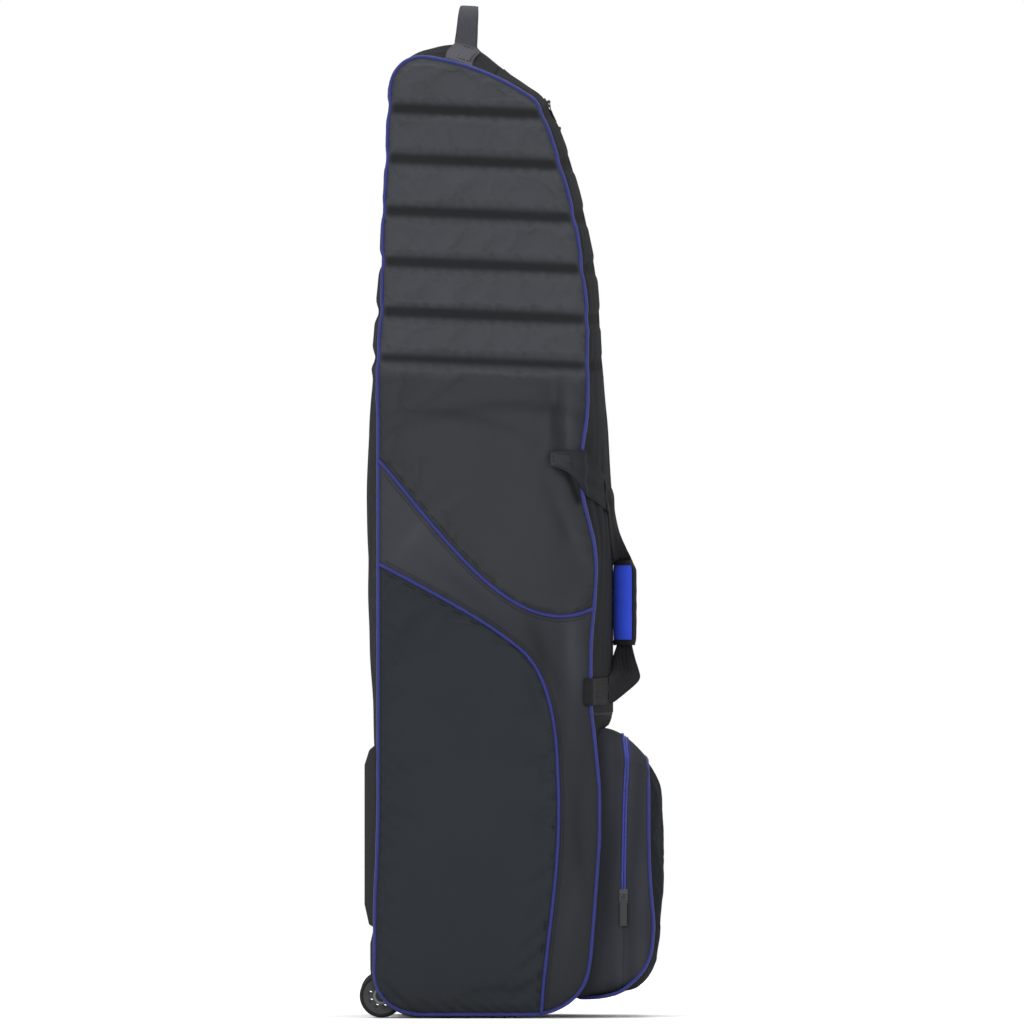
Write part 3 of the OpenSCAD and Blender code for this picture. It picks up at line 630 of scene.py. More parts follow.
# a darker copy of the pocket cloth for the pocket's front, seen edge-on: painted shade
pocket_face_shaded = cloth("pocket_face_polyester", (0.0122, 0.0137, 0.0162), sheen=0.0, specular=0.02)
base_cloth = cloth("coated_base_cloth", (0.010, 0.010, 0.011), pitch=1.6, roughness=0.6)
lining = cloth("lining", (0.05, 0.05, 0.053), pitch=0.8, mottle=0.1)
piping_cloth = cloth("blue_piping", (0.0090, 0.0130, 0.113), pitch=0.9, depth=0.5, mottle=0.3, roughness=0.5,
                     specular=0.3)
blue_tape = cloth("blue_zip_tape", (0.012, 0.016, 0.13), pitch=0.8, roughness=0.6)
black_tape = cloth("black_zip_tape", (0.007, 0.007, 0.008), pitch=0.8, roughness=0.6)
webbing_black = cloth("black_webbing", (0.0098, 0.0098, 0.0112), pitch=1.7, depth=0.7, rib=5.2, roughness=0.7,
                      sheen=0.01, specular=0.08)
strap_cloth = cloth("strap_polyester", (0.0165, 0.0175, 0.0205), pitch=1.3, depth=0.5, sheen=0.01,
                    specular=0.06)
webbing_grey = cloth("grey_webbing", (0.043, 0.043, 0.053), pitch=1.7, depth=0.7, rib=5.2)
binding_cloth = cloth("binding_tape", (0.006, 0.006, 0.007), pitch=0.9)
grip_cloth = cloth("blue_neoprene", (0.0190, 0.0480, 0.440), pitch=0.75, depth=0.3, sheen=0.06,
                   roughness=0.75)
blue_teeth = moulded("blue_zip_teeth", (0.020, 0.028, 0.20), 0.35, 0.05, 0.1)
black_teeth = moulded("black_zip_teeth", (0.010, 0.010, 0.012), 0.35, 0.05, 0.1)
thread_dark = moulded("dark_thread", (0.007, 0.007, 0.008), 0.7, 0.1, 0.1, 0.1)
black_plastic = moulded("moulded_black", (0.010, 0.010, 0.011), 0.52, 0.35, 0.3, 0.35)
tyre_rubber = moulded("tyre_rubber", (0.009, 0.009, 0.010), 0.78, 0.6, 0.5, 0.2)
hub_plastic = moulded("hub_plastic", (0.020, 0.021, 0.024), 0.42, 0.3, 0.3, 0.35)
black_metal = moulded("black_lacquer", (0.012, 0.012, 0.013), 0.28, 0.06, 0.4, 0.6)
steel = metal("plated_steel", (0.56, 0.56, 0.57), 0.3)
bearing_steel = metal("bearing_steel", (0.15, 0.15, 0.155), 0.38)
grey_metal = metal("pull_metal", (0.045, 0.045, 0.048), 0.42)
black_oxide = metal("blackened_steel", (0.035, 0.035, 0.037), 0.5)
pressed_board = board("pressed_board", (0.07, 0.07, 0.072))


# ---------------------------------------------------------------- cloth simulation
CLOTH_SETTINGS = dict(quality=4, mass=0.25, tension_stiffness=12, compression_stiffness=12, shear_stiffness=6,
                      bending_stiffness=0.12, vertex_group_mass="sewn", pin_stiffness=1, use_pressure=True,
                      air_damping=4)
CLOTH_FRAMES = 18
FARTHEST_MOVE = 5.0


def settled(surface, pinned, lift, stretch):
    """Moves the free points of a grid as cloth blown from behind and held at its seams does.

    surface is the grid, pinned marks the sewn points, lift is the pressure, stretch the extra cloth.
    """
    m, n = surface.shape[:2]
    obj = make_object("settling_cloth", surface.reshape(-1, 3), grid_faces(m, n), even_normals=False)
    group = obj.vertex_groups.new(name="sewn")
    for k, weight in enumerate(np.where(pinned > 0.99, 1, np.where(pinned > 0.01, pinned, 0)).ravel()):
        group.add([k], float(weight), "REPLACE")
    modifier = obj.modifiers.new("cloth", "CLOTH")
    for key, value in CLOTH_SETTINGS.items():
        setattr(modifier.settings, key, value)
    modifier.settings.shrink_min = -stretch
    modifier.settings.uniform_pressure_force = lift
    modifier.settings.effector_weights.gravity = 0
    modifier.collision_settings.use_collision = False
    modifier.point_cache.frame_start, modifier.point_cache.frame_end = 1, CLOTH_FRAMES + 1
    scene = bpy.context.scene
    for k in range(1, CLOTH_FRAMES + 1):
        scene.frame_set(k)
    moved = obj.evaluated_get(bpy.context.evaluated_depsgraph_get()).data.vertices
    places = np.zeros(len(moved) * 3, np.float32)
    moved.foreach_get("co", places)
    scene.frame_set(1)
    shift = places.reshape(m, n, 3) / MM - surface
    length = np.linalg.norm(shift, axis=-1, keepdims=True)
    bpy.data.objects.remove(obj)
    return surface + shift * np.minimum(1, FARTHEST_MOVE / np.maximum(length, 1e-6))


def finer(grid, rows, columns):
    """A grid resampled to more rows and columns."""
    m, n = grid.shape[:2]
    i, j = np.linspace(0, m - 1, rows), np.linspace(0, n - 1, columns)
    wide = np.stack([sample(j, np.arange(n), row) for row in grid])
    return np.stack([sample(i, np.arange(m), wide[:, c]) for c in range(columns)], 1)


# ---------------------------------------------------------------- side panels
def seam_run(s0, s1, n):
    x, z, _, _ = seam_at(np.linspace(s0, s1, n + 1) % SEAM_LEN)
    return np.c_[x, z]


def lofted(start, end, columns):
    """A grid of points between two runs."""
    t = np.linspace(0, 1, columns + 1)[:, None]
    return (1 - t) * start[:, None] + t * end[:, None]


def upper_grid(rows, columns):
    """Side view points of the upper panel: rows that start on the decorative seam."""
    top_s = S_CREST + 7
    foot_s = S_BACK + math.dist(CREST_END, (-BACK_X, BEND_Z)) + BEND_Z - UPPER_TRIM_BACK
    chord = lofted(seam_run(foot_s, top_s + 10, rows),
                   seam_run(UPPER_TRIM_FRONT - ZIP_FOOT_Z, top_s - 10, rows), columns)
    bow = resample(trim_upper, columns) - lofted(trim_upper[:1], trim_upper[-1:], columns)[0]
    fade = (1 - smooth(np.linspace(0, 1, rows + 1) / 0.42))[:, None, None]
    return chord + fade * bow


def middle_grid(rows, columns):
    """Side view points of the band between the two decorative seams."""
    back = rows // 3
    front = np.vstack([seam_run(UPPER_TRIM_FRONT - ZIP_FOOT_Z, 0, 40),
                       seam_run(SEAM_LEN, S_TOE + 15, 160)[1:]])
    inner, outer = (np.vstack([resample(first, back), resample(second, rows - back)[1:]])
                    for first, second in ((trim_lower[:70], trim_lower[69:]), (trim_upper, front)))
    inner[-1] = outer[-1] = 0.5 * (outer[-1] + inner[-1])
    return lofted(inner, outer, columns)


def lower_grid(rows, columns):
    """Side view points of the lower back panel: level rows."""
    top, second = LOWER_TRIM_BACK - 1, LOWER_TRIM_BACK - 3
    z = np.r_[np.linspace(top, second, 4)[:-1], np.linspace(second, BASE_Z + 0.4, rows - 2)]
    back_x, back_z, _, _ = seam_at(np.linspace(S_BACK, S_TOE, 3000))
    left = np.interp(z, back_z[::-1], back_x[::-1])
    right = np.interp(z, trim_lower[::-1, 1], trim_lower[::-1, 0])
    return lofted(np.c_[left, z], np.c_[right, z], columns)


def on_side(x, z, out):
    """Points of the near side's cloth, or out from it."""
    return triple(x, -HALF_W - side_height(x, z) - out, z)


def side_panel(label, flat_grid, material, slot, lift, stretch, below=1.0):
    """One padded panel of each side: laid out in the side view, quilted, and settled as cloth."""
    x, z = np.moveaxis(flat_grid, -1, 0)
    outer = on_side(x, z, 0)
    few = outer[::2, ::2]
    few_x, few_z = few[..., 0], few[..., 2]
    from_seam = np.minimum(distance_to(few_x, few_z, outline), trim_distance(few_x, few_z))
    channels = in_quilt(few_x, few_z) * (1 - smooth((groove_distance(few_x, few_z) - 4) / 5))
    held = np.maximum(channels, 1 - smooth((from_seam - 3) / 6))
    held[0] = held[-1] = held[:, 0] = held[:, -1] = 1
    outer = outer + finer(settled(few, held, lift, stretch) - few, *x.shape)
    inner = triple(x, -HALF_W, z)
    weave = triple(x, z, side_shade(x, z, below))
    for side, _, turn in SIDES:
        piece = shell(f"side_{label}_{side}_cloth", turn(outer), turn(inner), weave, material, pinched=True)
        fasten(piece, "root", slot, f"side_panel_{label}_{side}")


def side_panels():
    upper = upper_grid(280, 92)
    by_strap = smooth((upper[..., 0] - 20) / 70) * (1 - smooth((upper[..., 1] - 770) / 80))
    side_panel("upper", upper, quilted, "grey_cloth", 1.6, 0.035, 0.64 - 0.10 * by_strap)
    middle = middle_grid(300, 44)
    low = smooth((640 - middle[..., 1]) / 140) + 0.2 * smooth((470 - middle[..., 1]) / 130)
    side_panel("middle", middle, middle_cloth, "charcoal_cloth", 1.4, 0.035, 1.22 - 0.42 * low)
    side_panel("lower", lower_grid(200, 66), lower_cloth, "dark_cloth", 1.4, 0.03)


# ---------------------------------------------------------------- piping and seams
def piping():
    """The piped seam round each side, drawn in a little where the sewn channels meet it."""
    s = np.arange(0, SEAM_LEN, 3.2)
    x, z, nx, nz = seam_at(s)
    pull = -1.6 * on_gusset_quilt(x, z) * (1 - pad(x, z)) * smooth((z - 850) / 40)
    path = triple(x + pull * nx, -HALF_W - 0.4, z + pull * nz)
    thick = 2.75 + 0.12 * np.sin(s / 7.3) + 0.08 * np.sin(s / 2.9 + 1)
    for side, _, turn in SIDES:
        cord = tube(f"main_piping_{side}", turn(path), thick, piping_cloth, closed=True)
        fasten(cord, "root", "blue_piping", f"piping_{side}")


# Straight out of the near side
AWAY = np.array([0, -1.0, 0])


def trims():
    """The two decorative piped seams on each side, with their lock stitching."""
    for label, line in (("upper", trim_upper), ("lower", trim_lower)):
        x, z = resample(line, 260).T
        path = on_side(x, z, 0.9)
        thick = 2.5 + 0.1 * np.sin(along(path) / 6.1)
        tx, tz = unit(np.gradient(np.c_[x, z], axis=0)).T
        runs = []
        for offset in (-7.2, 7.2):
            row_x, row_z = x + offset * tz, z - offset * tx
            runs.append(on_side(row_x, row_z, 0.05)[distance_to(row_x, row_z, outline) > 6])
        for side, _, turn in SIDES:
            cord = tube(f"{label}_trim_piping_{side}", turn(path), thick, piping_cloth)
            fasten(cord, "root", "blue_piping", f"trim_piping_{side}")
            sewn = dashes(f"{label}_trim_stitching_{side}", [turn(run) for run in runs], turn(AWAY))
            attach(sewn, "root")


# ---------------------------------------------------------------- gusset
ZIP_HALF, ZIP_SLOT, TEETH_Y = 7.7, 0.7, 2.4


def skin(s, y, out=0.0):
    """A point of the gusset: s along the seam, y across it, out from its face."""
    x, z, nx, nz = seam_at(s % SEAM_LEN)
    crown = swell(s % SEAM_LEN) * (1 - (y / HALF_GUSSET) ** 2) + out
    return triple(x + crown * nx, y, z + crown * nz)


def strap_pull(s, y):
    """Long folds that the carry straps pull into the front, about 1 high."""
    beside = smooth((s - 60) / 90) * (1 - smooth((s - 330) / 90)) * smooth((np.abs(y) - 30) / 40)
    return beside * np.sin((np.abs(y) + 0.10 * s) / 4.6) * (0.6 + 0.4 * np.sin(s / 38.0 + 1))


def gusset_relief(s, y):
    """Pads between the quilting channels, gathers at the seams and soft unevenness, none of it at the zip."""
    x, z, _, _ = seam_at(s % SEAM_LEN)
    inside = HALF_GUSSET - np.abs(y)
    quilt = on_gusset_quilt(x, z) * smooth(inside / 16)
    relief = quilt * (3.2 * np.sqrt(pad(x, z)) - 1.4 * (1 - pad(x, z)))
    relief += 0.7 * np.exp(-inside / 14) * smooth(inside / 4) * pucker(s)
    relief += 1.1 * smooth(inside / 12) * strap_pull(s, y) + 0.7 * smooth(inside / 35) * rumple(s * 0.5, y)
    return relief * np.where(s < S_ZIP_END + 1, smooth((np.abs(y) - ZIP_HALF) / 16), 1)


def gusset_strip(name, s_range, y_range, material, relief=1, thick=3.0, out=0.0):
    """A strip of the gusset between two places along the seam and two across it."""
    s, y = np.meshgrid(*(np.linspace(a, b, max(3, int((b - a) / 4.5))) for a, b in (s_range, y_range)),
                       indexing="ij")
    lift = relief * gusset_relief(s, y)
    x, z, _, _ = seam_at(s % SEAM_LEN)
    # painted shade in the quilting channels; strap_pull adds painted light and shade along the strap folds,
    # rumple a random tone
    shade = 1 - 0.5 * on_gusset_quilt(x, z) * (1 - smooth((groove_distance(x, z) - GROOVE_HALF) / 4))
    shade = shade * (1 + 0.22 * strap_pull(s, y) + 0.05 * rumple(s * 0.3, y * 2))
    outer, inner = skin(s, y, out + lift), skin(s, y, out + lift * 0.6 - thick)
    return shell(name, outer, inner, triple(s, y, shade), material), s, y


def bend_with_flap(piece):
    """Bakes a piece's placement into its mesh."""
    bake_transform(piece)


def front_gusset():
    """The padded strip each side of the main zip, from above the pocket over the shoulder."""
    for side, sign, _ in SIDES:
        piece, s, y = gusset_strip(f"front_gusset_{side}", (1, S_ZIP_END),
                                   sorted((sign * ZIP_HALF, sign * HALF_GUSSET)), gusset_cloth)
        bend_with_flap(piece)
        dress(piece, "charcoal_cloth", f"flap_{side}", f"gusset_{side}")


def zip_teeth(name, path, out, across, sign, material, tooth=2.6, reach=2.2):
    """Coil teeth along one half of a zip, and how far along it each of their points is."""
    d = along(path)
    at = np.arange(tooth, d[-1] - tooth, tooth) + (tooth / 2 if sign > 0 else 0)
    centre = sample(at, d, path)
    t, n, b = unit(sample(at + 0.5, d, path) - centre), sample(at, d, out), sample(at, d, across)
    corners = [(-1.2, 0.0), (-0.9, 0.75), (reach - 0.5, 0.95), (reach, 0.45), (reach - 0.2, -0.2),
               (-1.2, -0.3)]
    points = np.stack([centre + b * u + n * h + t * half * (0.7 if u == reach else 1)
                       for half in (-0.75, 0.75) for u, h in corners], 1)
    sides = [(k, (k + 1) % 6, 6 + (k + 1) % 6, 6 + k) for k in range(6)]
    faces = copies([*sides, range(5, -1, -1), range(6, 12)], len(at), 12)
    return make_object(name, points.reshape(-1, 3), faces, PLAIN, material), np.repeat(at, 12)


def main_zip():
    """Both halves of the main zip: woven tape with coil teeth."""
    for side, sign, _ in SIDES:
        y_range = sorted((sign * ZIP_SLOT * 2, sign * (ZIP_HALF + 1.5)))
        tape, s, y = gusset_strip(f"main_zip_tape_{side}", (1, S_ZIP_END), y_range, black_tape, relief=0,
                                  thick=1.1, out=0.4)
        bend_with_flap(tape)
        dress(tape, "black_zip", f"zip_half_{side}", "zip_upper")
        run = np.arange(1, S_ZIP_END, 4.0)
        nx, nz = seam_at(run)[2:]
        teeth, at = zip_teeth(f"main_zip_teeth_{side}", skin(run, sign * TEETH_Y, 0.7), triple(nx, 0, nz),
                              np.tile([0, -sign, 0.0], (len(run), 1)), sign, black_teeth)
        bend_with_flap(teeth)
        dress(teeth, "black_zip")


def gusset_end_bindings():
    """Bound free edges where the zip's flaps end above the pocket."""
    for side, sign, _ in SIDES:
        s, y = 1.3, np.linspace(sign * (HALF_GUSSET - 2), sign * (ZIP_HALF + 0.5), 50)
        edge = tube(f"flap_binding_{side}", skin(s, y, -1.6), 2.4, binding_cloth, up=(0, 0, 1), flat=1.3)
        bend_with_flap(edge)
        dress(edge, "black_webbing")


def fixed_gusset():
    """Back, top, base and lower front of the gusset."""
    for name, s0, s1, node in (
        ("back_cloth", S_BACK + 1, S_HOUSING - 0.5, "back_panel"),
        ("top_cloth", S_ZIP_END + 0.5, S_BACK + 0.5, "top_panel"),
        ("lower_front_cloth", S_TOE + 1, SEAM_LEN - 0.2, "lower_front_panel"),
    ):
        piece, _, _ = gusset_strip(name, (s0, s1), (-HALF_GUSSET, HALF_GUSSET), gusset_cloth)
        fasten(piece, "root", "charcoal_cloth", node)
    low, high = node_box("base_panel")
    x, y = np.meshgrid(np.linspace(low[0], high[0], 40), np.linspace(low[1], high[1], 74), indexing="ij")
    base = shell("base_cloth", triple(x, y, low[2] + 0.5 + 0.125 * rumple(x, y)), triple(x, y, high[2] - 0.3),
                 triple(x, y, 1), base_cloth)
    fasten(base, "root", "base_cloth", "base_panel")


# ---------------------------------------------------------------- carry straps
STRAP_T = 2.4
HINGE_Y = 74
FOLD_REACH = HALF_W - HINGE_Y
UPPER_FOLD = (678, 726)
LOWER_FOLD = (419, 456)
# Rows of distance past the side seam, height of the low edge and height of the high edge
UPPER_SEWN = [(-42, 739, 757), (-30, 736, 758), (-19, 731, 758), (-9, 721, 759), (-3, 708, 760),
              (1, 700, 760), (FOLD_REACH, *UPPER_FOLD)]
LOWER_SEWN = [(-9, 418, 454), (0, 418, 454), (FOLD_REACH, *LOWER_FOLD)]
# Both edges (x, y, z, x, y, z) of the straps between the flap and the grip, outer edge first
UPPER_KEYS = [
    (137, -52, 703, 131, -56, 656), (139, -38, 678, 134, -41, 634), (145, -24, 652, 136, -25, 618),
    (155, -13, 629, 138, -13, 611), (162.5, -6, 613, 142.5, -5, 610), (162, -3.5, 600, 144, -3.5, 600),
    (161.5, -3.5, 556, 144.5, -3.5, 556),
]
LOWER_KEYS = [
    (161.5, -3.5, 556, 144.5, -3.5, 556), (161.5, -3.5, 515, 144.5, -3.5, 515),
    (163, -5, 499, 142.5, -5, 499), (167, -9, 481, 138, -10, 485), (172, -15, 464, 136, -18, 474),
    (173.5, -22, 454, 135, -28, 468), (168, -32, 446, 134.5, -40, 464), (154, -48, 434, 133, -54, 460),
    (140, -62, 423, 132, -64, 458),
]


def wrap_point(p, z, lift):
    """A point p past the side seam (negative: back along the side) at height z, off the cloth by lift."""
    s = z - ZIP_FOOT_Z
    back = on_side(seam_at(s)[0] + np.minimum(p, 0), z, lift)
    y = -HALF_W + np.maximum(p, 0)
    front = skin(s, np.clip(y, -HALF_GUSSET, 0), lift + 0.5)
    front[..., 1] = y
    return np.where((p < 0)[..., None], back, front)


def seam_strap(label, sewn, material, folds, shades=((0, 1),)):
    """A strap sewn on the side, round the seam and onto the front flap as far as the handle's fold.

    folds is the height of its creases; shades are rows of distance past the seam and painted brightness:
    painted light where the strap lies on the side, painted shade past the seam.
    """
    past, low, high = np.array(sewn, float).T
    v = np.linspace(-1, 1, 25)
    p = np.repeat(np.arange(past[0], past[-1] + 4, 2.0)[:, None], len(v), 1)
    low, high = np.interp(p, past, low), np.interp(p, past, high)
    z = (low + high) / 2 + (high - low) / 2 * v
    over_seam = 4.8 * np.exp(-(p / 8.0) ** 2)
    mid = wrap_point(p, z, 1.0) + over_seam[..., None] * np.array([0.7, -0.7, 0])
    for _ in range(6):
        mid[1:-1] = 0.25 * mid[:-2] + 0.5 * mid[1:-1] + 0.25 * mid[2:]
    out = unit(np.cross(np.gradient(mid, axis=1), np.gradient(mid, axis=0)))
    out *= -np.sign(out[0, len(v) // 2, 1])
    creases = folds * np.sin(v * 7.0 + 0.4) * smooth((p + 40) / 30) * smooth((60 - p) / 40)
    body = STRAP_T / 2 * (1 - 0.5 * np.abs(v) ** 8)
    outer, inner = (mid + out * (creases + face * body)[..., None] for face in (1, -1))
    # painted light and shade along the strap from shades, and painted shade at its rolled edges
    weave = triple(p, z, np.interp(p, *zip(*shades)) * (1 - 0.2 * np.abs(v) ** 6))
    for side, _, turn in SIDES:
        piece = shell(f"{label}_seam_strap_{side}", turn(outer), turn(inner), weave, material)
        bend_with_flap(piece)
        dress(piece, "black_webbing", f"flap_strap_{side}", "strap_ends")
    return outer


def seam_straps():
    # the upper strap is painted lighter on the side and darker past the seam onto the front
    outer = seam_strap("upper", UPPER_SEWN, strap_cloth, 0.9,
                       ((-42, 1.55), (-22, 1.3), (-2, 0.85), (10, 0.68)))
    box = [outer[2:15, 3], outer[14, 3:22], outer[14:1:-1, 21], outer[2, 21:2:-1]]
    for side, _, turn in SIDES:
        sewn = dashes(f"upper_strap_stitching_{side}", [turn(resample(run, 40)) for run in box], turn(AWAY),
                      **HEAVY_THREAD)
        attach(sewn, "root")
    seam_strap("lower", LOWER_SEWN, webbing_black, 0.5)


def edged_strap(name, rows, material):
    """A strap between two edges, from rows of both edges' points."""
    w = np.linspace(0, 1, 15)
    across = 2 * w - 1
    mid = rows[:, None, :3] * (1 - w)[:, None] + rows[:, None, 3:] * w[:, None]
    normal = unit(np.cross(np.gradient(mid, axis=0), np.gradient(mid, axis=1)))
    for i in range(1, len(normal)):
        if (normal[i] * normal[i - 1]).sum() < 0:
            normal[i] = -normal[i]
    wide = np.linalg.norm(rows[:, :3] - rows[:, 3:], axis=1)[:, None]
    slack = 0.8 * np.sin(across * 5.5 + 0.5) * smooth((wide - 20) / 20)
    body = STRAP_T / 2 * (1 - 0.5 * np.abs(across) ** 8)
    # painted shade at the strap's rolled edges
    weave = triple(along(mid[:, 7])[:, None], across * wide / 2, 1 - 0.25 * np.abs(across) ** 8)
    outer, inner = (mid + normal * (slack + face * body)[..., None] for face in (1, -1))
    return shell(name, outer, inner, weave, material)


def fold_rows(low, high):
    """Both edges of a strap where it leaves the flap, at two places across the gusset."""
    return [[*skin(high - ZIP_FOOT_Z, -y, 2.4), *skin(low - ZIP_FOOT_Z, -y, 2.4)]
            for y in (HINGE_Y + 3, HINGE_Y - 4)]


def handle_straps():
    """From the fold on each flap into the grip: two straps that meet inside it."""
    upper = spline(fold_rows(*UPPER_FOLD) + UPPER_KEYS, 9)
    lower = spline(LOWER_KEYS + fold_rows(*LOWER_FOLD[::-1])[::-1], 9)
    for label, rows in (("upper", upper), ("lower", lower)):
        for side, sign, _ in SIDES:
            turned = rows * np.array([1, -sign, 1, 1, -sign, 1])
            piece = edged_strap(f"{label}_handle_strap_{side}", turned, webbing_black)
            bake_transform(piece)
            dress(piece, "black_webbing", f"handle_strap_{side}")


GRIP_LOW, GRIP_HIGH = node_box("grip_near")
GRIP_X, _, GRIP_MIDDLE = (GRIP_LOW + GRIP_HIGH) / 2
GRIP_R, _, GRIP_HALF = (GRIP_HIGH - GRIP_LOW) / 2
GRIP_BOUND_FROM = math.radians(38)
GRIP_WALL = 5.2
QUARTER = math.pi / 2


def grip_face(a, w, out):
    """A point of the near half of the grip: a round it from back to front, w along it, out from its face."""
    crown = 1 - 0.07 * np.abs(w) ** 5 + 0.014 * np.sin(w * 17 + 2 * a) * (1 - np.abs(w))
    crown = crown - smooth(a / 1.2) * (0.30 * smooth((w - 0.74) / 0.26) + 0.07 * smooth((-w - 0.85) / 0.15))
    dent = 0.5 * np.exp(-((np.abs(a) - QUARTER) / 0.22) ** 2)
    r = GRIP_R * crown - dent + out
    return triple(GRIP_X + r * np.sin(a), -0.6 - np.maximum(0, (r - 1.2) * np.cos(a) ** 0.9),
                  GRIP_MIDDLE + GRIP_HALF * w * (1 - 0.012 * np.cos(a)))


def grip_patch(name, body, turn, a_range, w_range, out, inward, material):
    """A piece of the grip's skin between two angles and two heights."""
    a, w = np.meshgrid(np.linspace(*a_range, 40), np.linspace(*w_range, 70))
    # painted shade towards the top and foot ends, where the skin turns under the bindings
    weave = triple(a * GRIP_R, w * GRIP_HALF, 1 - 0.3 * np.abs(w) ** 12)
    piece = shell(name, turn(grip_face(a, w, out)), turn(grip_face(a, w * 0.999, inward)), weave, material)
    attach(piece, body)
    return piece


def grips():
    """The padded grip: one crowned half on each handle, bound at both ends and at its front edge."""
    for side, _, turn in SIDES:
        body = f"handle_{side}"
        padding = grip_patch(f"grip_pad_{side}", body, turn, (-QUARTER, QUARTER), (-1, 1), 0, -GRIP_WALL,
                             grip_cloth)
        dress(padding, "blue_grip", f"grip_{side}")
        for label, a_range, w_range in (("front", (GRIP_BOUND_FROM, QUARTER), (-1, 1)),
                                        ("top", (-QUARTER, GRIP_BOUND_FROM), (0.88, 1.006)),
                                        ("foot", (-QUARTER, GRIP_BOUND_FROM), (-1.006, -0.88))):
            edge = grip_patch(f"grip_{label}_binding_{side}", body, turn, a_range, w_range, 0.7, -1.5,
                              binding_cloth)
            dress(edge, "black_webbing")
        lines = [grip_face(np.linspace(-1.3, GRIP_BOUND_FROM, 40), w, 0.75) for w in (0.9, -0.9)]
        lines.append(grip_face(GRIP_BOUND_FROM + 0.09, np.linspace(-0.9, 0.9, 60), 0.75))
        sewn = dashes(f"grip_stitching_{side}", [turn(line) for line in lines], turn([0.3, -1.0, 0]))
        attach(sewn, body)


# ---------------------------------------------------------------- loop across the top
LOOP_LOW, LOOP_HIGH = node_box("top_handle")
LOOP_X = (LOOP_LOW[0] + LOOP_HIGH[0]) / 2
LOOP_SET_BACK = 11
LOOP_T = 3.0


def loop_seat(y):
    """Where along the seam the loop's webbing is sewn: it leans back toward the sides."""
    run = np.arange(S_HANDLE - 45, S_HANDLE + 70, 1.0)
    target = LOOP_X - LOOP_SET_BACK * smooth((np.abs(y) - 55) / 84)
    return np.array([np.interp(-x, -skin(run, at)[:, 0], run) for x, at in zip(target, y)])


def loop_stitching(outward):
    """A box of stitches round each sewn end of the loop."""
    runs = []
    for sign in (-1, 1):
        long = sign * np.linspace(137, 66, 30)
        runs += [skin(loop_seat(long) + dx, long, 3.4) for dx in (-14.5, 14.5)]
        for y in (135, 68):
            short = np.full(16, sign * y)
            runs.append(skin(loop_seat(short) + np.linspace(-14.5, 14.5, 16), short, 3.4))
    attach(dashes("top_loop_stitching", runs, outward, **HEAVY_THREAD), "root")


def top_loop():
    """Webbing sewn across the top of the bag, standing up as a loop in the middle."""
    top, foot = LOOP_HIGH[2] + 0.5, LOOP_LOW[2]
    y = np.linspace(-145.5, -57, 28)
    on_top = skin(loop_seat(y), y, 1.6)
    loop = np.array([(-1.5, -53.5, foot + 2), (-0.5, -50.5, foot + 14), (0.5, -48, foot + 28),
                     (1.5, -44, foot + 40), (2.5, -34, top - 3), (3, -18, top - 0.3), (3, 0, top)], float)
    loop[:, 0] += LOOP_X
    near = np.vstack([on_top[:-1:3], [[on_top[-1, 0], -57.5, on_top[-1, 2] + 0.4]], loop])
    path = spline(np.vstack([near, mirrored(near[:-1])[::-1]]), 6)
    nx, nz = seam_at(S_HANDLE)[2:]
    rise = smooth((path[:, 2] - foot + 6) / 30)[:, None]
    cross = unit((1 - rise) * np.array([nz, 0, -nx]) + rise * np.array([1.0, 0, -0.05]))
    half = np.interp(np.abs(path[:, 1]), [0, 30, 48, 53, 60, 139], [11.8, 12.2, 14, 15.5, 18.5, 19])[:, None]
    outside = triple(0, np.sign(path[:, 1]) * 0.8 * smooth((top + 2 - path[:, 2]) / 20), 1)
    normal = unit(np.cross(np.gradient(path, axis=0), cross))
    normal *= np.where((normal * outside).sum(1) < 0, -1, 1)[:, None]
    v = np.linspace(-1, 1, 17)
    mid = path[:, None] + cross[:, None] * (half * v)[..., None]
    body = normal[:, None] * (LOOP_T / 2 * (1 - 0.55 * np.abs(v) ** 6))[:, None]
    # painted shade at the loop's rolled edges
    weave = triple(along(path)[:, None], v * half, 1 - 0.25 * np.abs(v) ** 8)
    piece = shell("top_loop", mid + body, mid - body, weave, webbing_grey)
    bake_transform(piece)
    dress(piece, "grey_webbing", "top_handle", "top_handle_ends")
    loop_stitching(np.array([nx, 0, nz]))


# ---------------------------------------------------------------- front pocket
POCKET_BACK, POCKET_HALF = node_box("pocket_tub")[0][:2] * [1, -1]
LID_Z = node_box("pocket_lid")[0][2]
POCKET_ZIP_X = (node_box("pocket_zip_tub")[0][0] + node_box("pocket_zip_lid")[1][0]) / 2
POCKET_ZIP_FOOT = node_box("pocket_zip_lid")[0][2]
# Side view of the piped edge and of the middle of the front, from the bottom to the top
POCKET_EDGE = spline([(92, 26.5), (119, 27.5), (143, 33.5), (161, 46), (177, 63), (187, 84), (190.5, 110),
                      (191, 130), (188, 165), (185.5, 205), (184.5, 260), (184.5, 305), (182.5, 345)], 12)
POCKET_MIDDLE = spline([(92, 23), (118, 24.5), (149, 30), (171, 45), (188, 68), (196, 98), (199, 135),
                        (201.5, 175), (201.5, 215), (201, 255), (197.5, 295), (191, 325), (180, 348)], 12)


def bend_with_lid(piece):
    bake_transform(piece)


def rounding(t):
    """1 at 0 and 0 from 1 on, along a quarter of a circle."""
    return 1 - np.sqrt(1 - (1 - np.clip(t, 0, 1)) ** 2)


